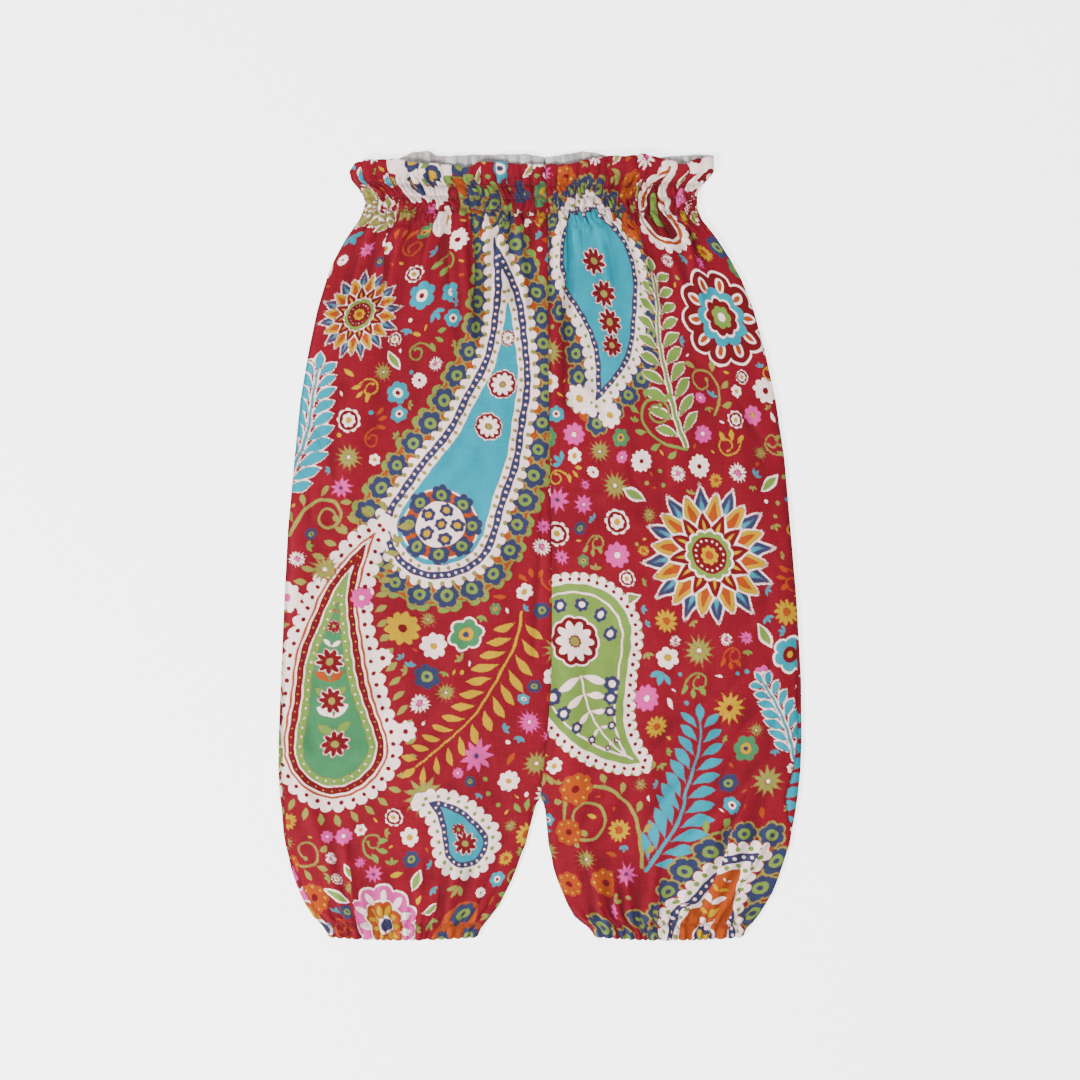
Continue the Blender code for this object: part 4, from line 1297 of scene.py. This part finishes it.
def weave_height(tree, place):
    """Plain weave with slubs: noise drawn out along X and along Y, the two added."""
    threads = []
    for scale in ((YARN, SLUB, SLUB), (SLUB, YARN, SLUB)):
        drawn_out = add_node(tree, "Mapping", {"Vector": place, "Scale": scale})
        threads.append(add_node(tree, "TexNoise", {"Vector": drawn_out, "Scale": 1.0,
                                                   "Detail": 2.0}))
    return add_node(tree, "Math", threads, operation="ADD")


def cotton_bump(tree, place, threads):
    """The weave's threads on soft crumples, as one bump over another."""
    crumple = add_node(tree, "TexNoise", {"Vector": place, "Scale": CRUMPLE, "Detail": 3.0,
                                          "Roughness": 0.55})
    soft = add_node(tree, "Bump", {"Height": crumple, "Strength": 0.35, "Distance": 0.0012})
    return add_node(tree, "Bump", {"Height": threads, "Strength": 0.3, "Distance": 0.0002,
                                   "Normal": soft})


def darkened_by_painted_shade(tree, colour, tone=1.0):
    """The colour in this tone, darkened by painted shade in the hollows."""
    painted_shade = add_node(tree, "Attribute", output="Fac", attribute_name="painted_shade")
    lit = add_node(tree, "MapRange", (painted_shade, 0.0, 1.0, 1.0, IN_HOLLOWS))
    toned = add_node(tree, "Math", (tone, lit), operation="MULTIPLY")
    return add_node(tree, "VectorMath", {0: colour, "Scale": toned}, operation="SCALE")


def printed_cotton():
    """Cotton lawn: plain-woven fine yarn, screen printed in ten inks on a dyed red ground.
    The eye sees a matt face with a faint bloom of fibres, inks a little uneven where the
    screen laid them thin, and soft edges to each shape where the ink crept along the yarn.
    The broad lighter and darker patches are partly that uneven ink and partly painted soft
    shading, and the hollows are darkened by painted shade."""
    made, tree, shader = new_material("screen_printed_cotton_lawn")
    place = add_node(tree, "TexCoord", output="Object")
    threads = weave_height(tree, place)
    creep = add_node(tree, "TexNoise", {"Vector": place, "Scale": CREPT_INK, "Detail": 2.0})
    wobble = add_node(tree, "MapRange", (creep, *NOISE, -0.22, 0.22))
    colour = linear(GROUND)
    for ink, soft in INK_CREEP.items():
        inside = add_node(tree, "Attribute", output="Fac", attribute_name="ink_" + ink)
        edge = add_node(tree, "Math", (inside, wobble), operation="ADD")
        share = add_node(tree, "MapRange", (edge, -soft, soft), interpolation_type="SMOOTHSTEP")
        colour = add_node(tree, "Mix", {0: share, 6: colour, 7: linear(INK_COLOURS[ink])}, 2,
                          data_type="RGBA")
    # patches of lighter and darker colour: partly uneven ink, partly painted soft shading
    uneven_ink = add_node(tree, "TexNoise", {"Vector": place, "Scale": INK_AND_SHADE_PATCHES, "Detail": 7.0,
                                             "Roughness": 0.62})
    ink_and_painted_shade_patches = add_node(tree, "MapRange", (uneven_ink, *NOISE, 0.82, 1.14))
    yarn = add_node(tree, "MapRange", (threads, *WEAVE, 0.93, 1.06))
    tone = add_node(tree, "Math", (ink_and_painted_shade_patches, yarn), operation="MULTIPLY")
    fill_in(tree, shader, {
        "Base Color": darkened_by_painted_shade(tree, colour, tone),
        "Roughness": add_node(tree, "MapRange", (threads, *WEAVE, 0.9, 0.78)),
        "Sheen Weight": 0.04, "Sheen Roughness": 0.5, "Specular IOR Level": 0.2,
        "Normal": cotton_bump(tree, place, threads)})
    return made


def wrong_side_cotton():
    """The unprinted side of the same lawn: greyish white, with the print showing through as
    faint cool and warm blots, and painted shade in its hollows."""
    made, tree, shader = new_material("unprinted_wrong_side_of_cotton_lawn")
    place = add_node(tree, "TexCoord", output="Object")
    threads = weave_height(tree, place)
    blots = add_node(tree, "TexNoise", {"Vector": place, "Scale": BLOT, "Detail": 1.5})
    through = add_node(tree, "MapRange", (blots, 0.52, 0.66))
    colour = add_node(tree, "Mix", {0: through, 6: linear("C2BEBC"), 7: linear("B1A5A7")}, 2,
                      data_type="RGBA")
    fill_in(tree, shader, {
        "Base Color": darkened_by_painted_shade(tree, colour), "Roughness": 0.88, "Sheen Weight": 0.1,
        "Normal": cotton_bump(tree, place, threads)})
    return made


def sewing_thread():
    """Rose sewing thread of spun polyester, two plies twisted: the eye sees fine slanting
    bands of light and dark, painted into its colour as well as bumped, slightly shinier than the
    cotton."""
    made, tree, shader = new_material("rose_sewing_thread")
    place = add_node(tree, "TexCoord", output="Object")
    twist = add_node(tree, "TexWave", {"Vector": place, "Scale": TWIST, "Distortion": 1.0},
                     "Fac", bands_direction="DIAGONAL")
    # painted light and shade: the twist's bands drawn lighter and darker in the colour
    mixed = add_node(tree, "Mix", {0: twist, 6: linear("86222F"), 7: linear("6E1524")}, 2,
                     data_type="RGBA")
    fill_in(tree, shader, {
        "Base Color": add_node(tree, "VectorMath", {0: mixed, "Scale": 0.9}, operation="SCALE"),
        "Roughness": 0.55,
        "Normal": add_node(tree, "Bump", {"Height": twist, "Strength": 0.3, "Distance": 0.0001})})
    return made


def opal_acrylic():
    """A backlit table of opal acrylic sheet: the eye sees an even, matt, pale white on which
    shadows are faint."""
    made, tree, shader = new_material("backlit_white_acrylic_table")
    fill_in(tree, shader, {"Base Color": linear("F7F7F7"), "Roughness": 0.9,
                           "Emission Color": linear("FFFFFF"), "Emission Strength": 2.7})
    return made


# ---------------------------------------------------------------- stitches
STITCH_SIDES = 6
# Sections of a stitch: how far along it, its radius as a share, and how far it dips, mm
STITCH_SECTIONS = np.array(((0.0, 0.25, 0.28), (0.12, 0.85, 0.08), (0.5, 1.0, 0.0),
                            (0.88, 0.85, 0.08), (1.0, 0.25, 0.28)))
STITCH_RISE = 0.05         # how far a stitch's middle stands above the cloth's face, mm


def stitch_rows(name, leg, heights, pitch, length, thick, material):
    """Stitches along rows across a panel's front. Each is a small capsule of six sides that
    follows the cloth's face, partly sunk in it; share is its place across the panel."""
    centres = []
    for y_row in heights:
        width = abs(read(OUTLINE, y_row, leg["side"]) - read(OUTLINE, y_row, leg["inner"]))
        count = int(width / pitch)
        share = (np.arange(count) + 0.5) / count
        row = np.array((1.0 + FRILL_ROOT - y_row,))
        ends = []
        for end in (-0.5, 0.0, 0.5):
            across = np.clip(share + end * length / width, 0.002, 0.998)
            x, y, faces, _, _ = lay_out(across, row, leg, "front")
            sway = row_sway(x[0], y_row) if y_row > 0.0 else 0.0
            ends.append(np.stack((x[0], y[0] + sway, faces[3][0] + STITCH_RISE), axis=-1))
        centres.append(np.stack(ends, axis=1))
    centres = np.concatenate(centres)
    along = centres[:, 2] - centres[:, 0]
    along = along / np.linalg.norm(along, axis=1, keepdims=True)
    aside = np.cross(along, (0.0, 0.0, 1.0))
    aside = aside / np.linalg.norm(aside, axis=1, keepdims=True)
    up = np.cross(aside, along)
    at, swell, dip = STITCH_SECTIONS.T
    line = (centres[:, None, 0] * (1.0 - at)[None, :, None]
            + centres[:, None, 2] * at[None, :, None])
    line[:, 2] = 0.5 * line[:, 2] + 0.5 * centres[:, 1]
    line[:, :, 2] -= dip
    angle = TAU * np.arange(STITCH_SIDES)[:, None] / STITCH_SIDES
    ring = np.cos(angle) * aside[:, None] + np.sin(angle) * up[:, None]
    points = line[:, :, None] + ring[:, None] * (swell * thick)[None, :, None, None]
    count = len(centres)
    index = np.arange(count * len(at) * STITCH_SIDES).reshape(count, len(at), STITCH_SIDES)
    quads = band_faces(index[:, :-1], index[:, 1:])
    fan = np.array([(0, k, k + 1) for k in range(1, STITCH_SIDES - 1)])
    caps = (index[:, 0][:, fan], index[:, -1][:, fan[:, ::-1]])
    triangles = np.concatenate(caps).reshape(-1, 3)
    return mesh_object(name, points.reshape(-1, 3), quads, triangles,
                       np.zeros(len(quads) + len(triangles)), [material], {})


def shares_of(count, margin=0.0):
    """Evenly spaced shares of a panel's width, short of its sides by a margin."""
    return np.linspace(margin, 1.0 - margin, count)


def inner_rows(*stretches):
    """Rows of a coarse face: shares of the frill's height, then mm below its root."""
    return np.concatenate([stretches[0], *(1.0 + part for part in stretches[1:])])


front_grids = ((shares_of(182), rows_down(18, 0.93)),
               (shares_of(14, 0.02), inner_rows((0.1, 0.5, 1.0), np.linspace(8.0, 448.0, 46))))
back_grids = ((shares_of(110), rows_down(12, 1.5)),
              (shares_of(150, 0.005), inner_rows(np.linspace(0.03, 1.0, 20),
                                                 np.linspace(2.0, 14.0, 8),
                                                 np.linspace(24.0, 448.0, 36))))
cloth_faces = [printed_cotton(), wrong_side_cotton()]
thread = sewing_thread()
for leg, front_motifs, back_motifs in ((LEGS[0], RIGHT_FRONT, RIGHT_BACK),
                                       (LEGS[1], LEFT_FRONT, LEFT_BACK)):
    front = panel(leg, "front", *front_grids, front_motifs, cloth_faces)
    back = panel(leg, "back", *back_grids, back_motifs, cloth_faces)
    waist_rows = stitch_rows(f"{leg['name']}_elastic_thread_rows", leg, SHIRRING_ROWS[:3],
                             2.9, 2.0, 0.17, thread)
    ankle_row = stitch_rows(f"{leg['name']}_casing_stitches", leg, (ANKLE_STITCH,),
                            2.6, 1.9, 0.17, thread)


# ---------------------------------------------------------------- stage
FLOOR_REACH = 4.0          # m to each side
BELOW_THE_CLOTH = 0.0003   # m, so that the floor and the back's face never share a plane
LIGHT_ALL_ROUND = 0.55     # strength of the world's light
LENS = 100.0
CAMERA_PLACE = (0.0, 0.003, 1.803)


def floor():
    """A flat square under the cloth."""
    mesh = bpy.data.meshes.new("floor")
    corners = [(x * FLOOR_REACH, y * FLOOR_REACH, 0.0)
               for x, y in ((-1, -1), (1, -1), (1, 1), (-1, 1))]
    mesh.from_pydata(corners, [], [(0, 1, 2, 3)])
    mesh.materials.append(opal_acrylic())
    link("floor", mesh, (0.0, 0.0, -BELOW_THE_CLOTH))


def softbox(name, place, size, power):
    """A round area light that faces the middle of the cloth."""
    data = bpy.data.lights.new(name, "AREA")
    data.shape = "DISK"
    data.size = size
    data.energy = power
    made = link(name, data, place)
    made.rotation_euler = (-mathutils.Vector(place)).to_track_quat("-Z", "Y").to_euler()


floor()
softbox("key_softbox", (-1.1, -0.7, 1.35), 0.5, 72.0)
softbox("fill_softbox", (1.6, 2.0, 2.6), 2.0, 40.0)
world = bpy.data.worlds.new("studio")
world.use_nodes = True
background = world.node_tree.nodes["Background"]
fill_in(world.node_tree, background, {"Color": linear("FFFFFF"), "Strength": LIGHT_ALL_ROUND})
bpy.context.scene.world = world

camera_data = bpy.data.cameras.new("camera")
camera_data.lens = LENS
camera_data.sensor_width = 36.0
bpy.context.scene.camera = link("camera", camera_data, CAMERA_PLACE)
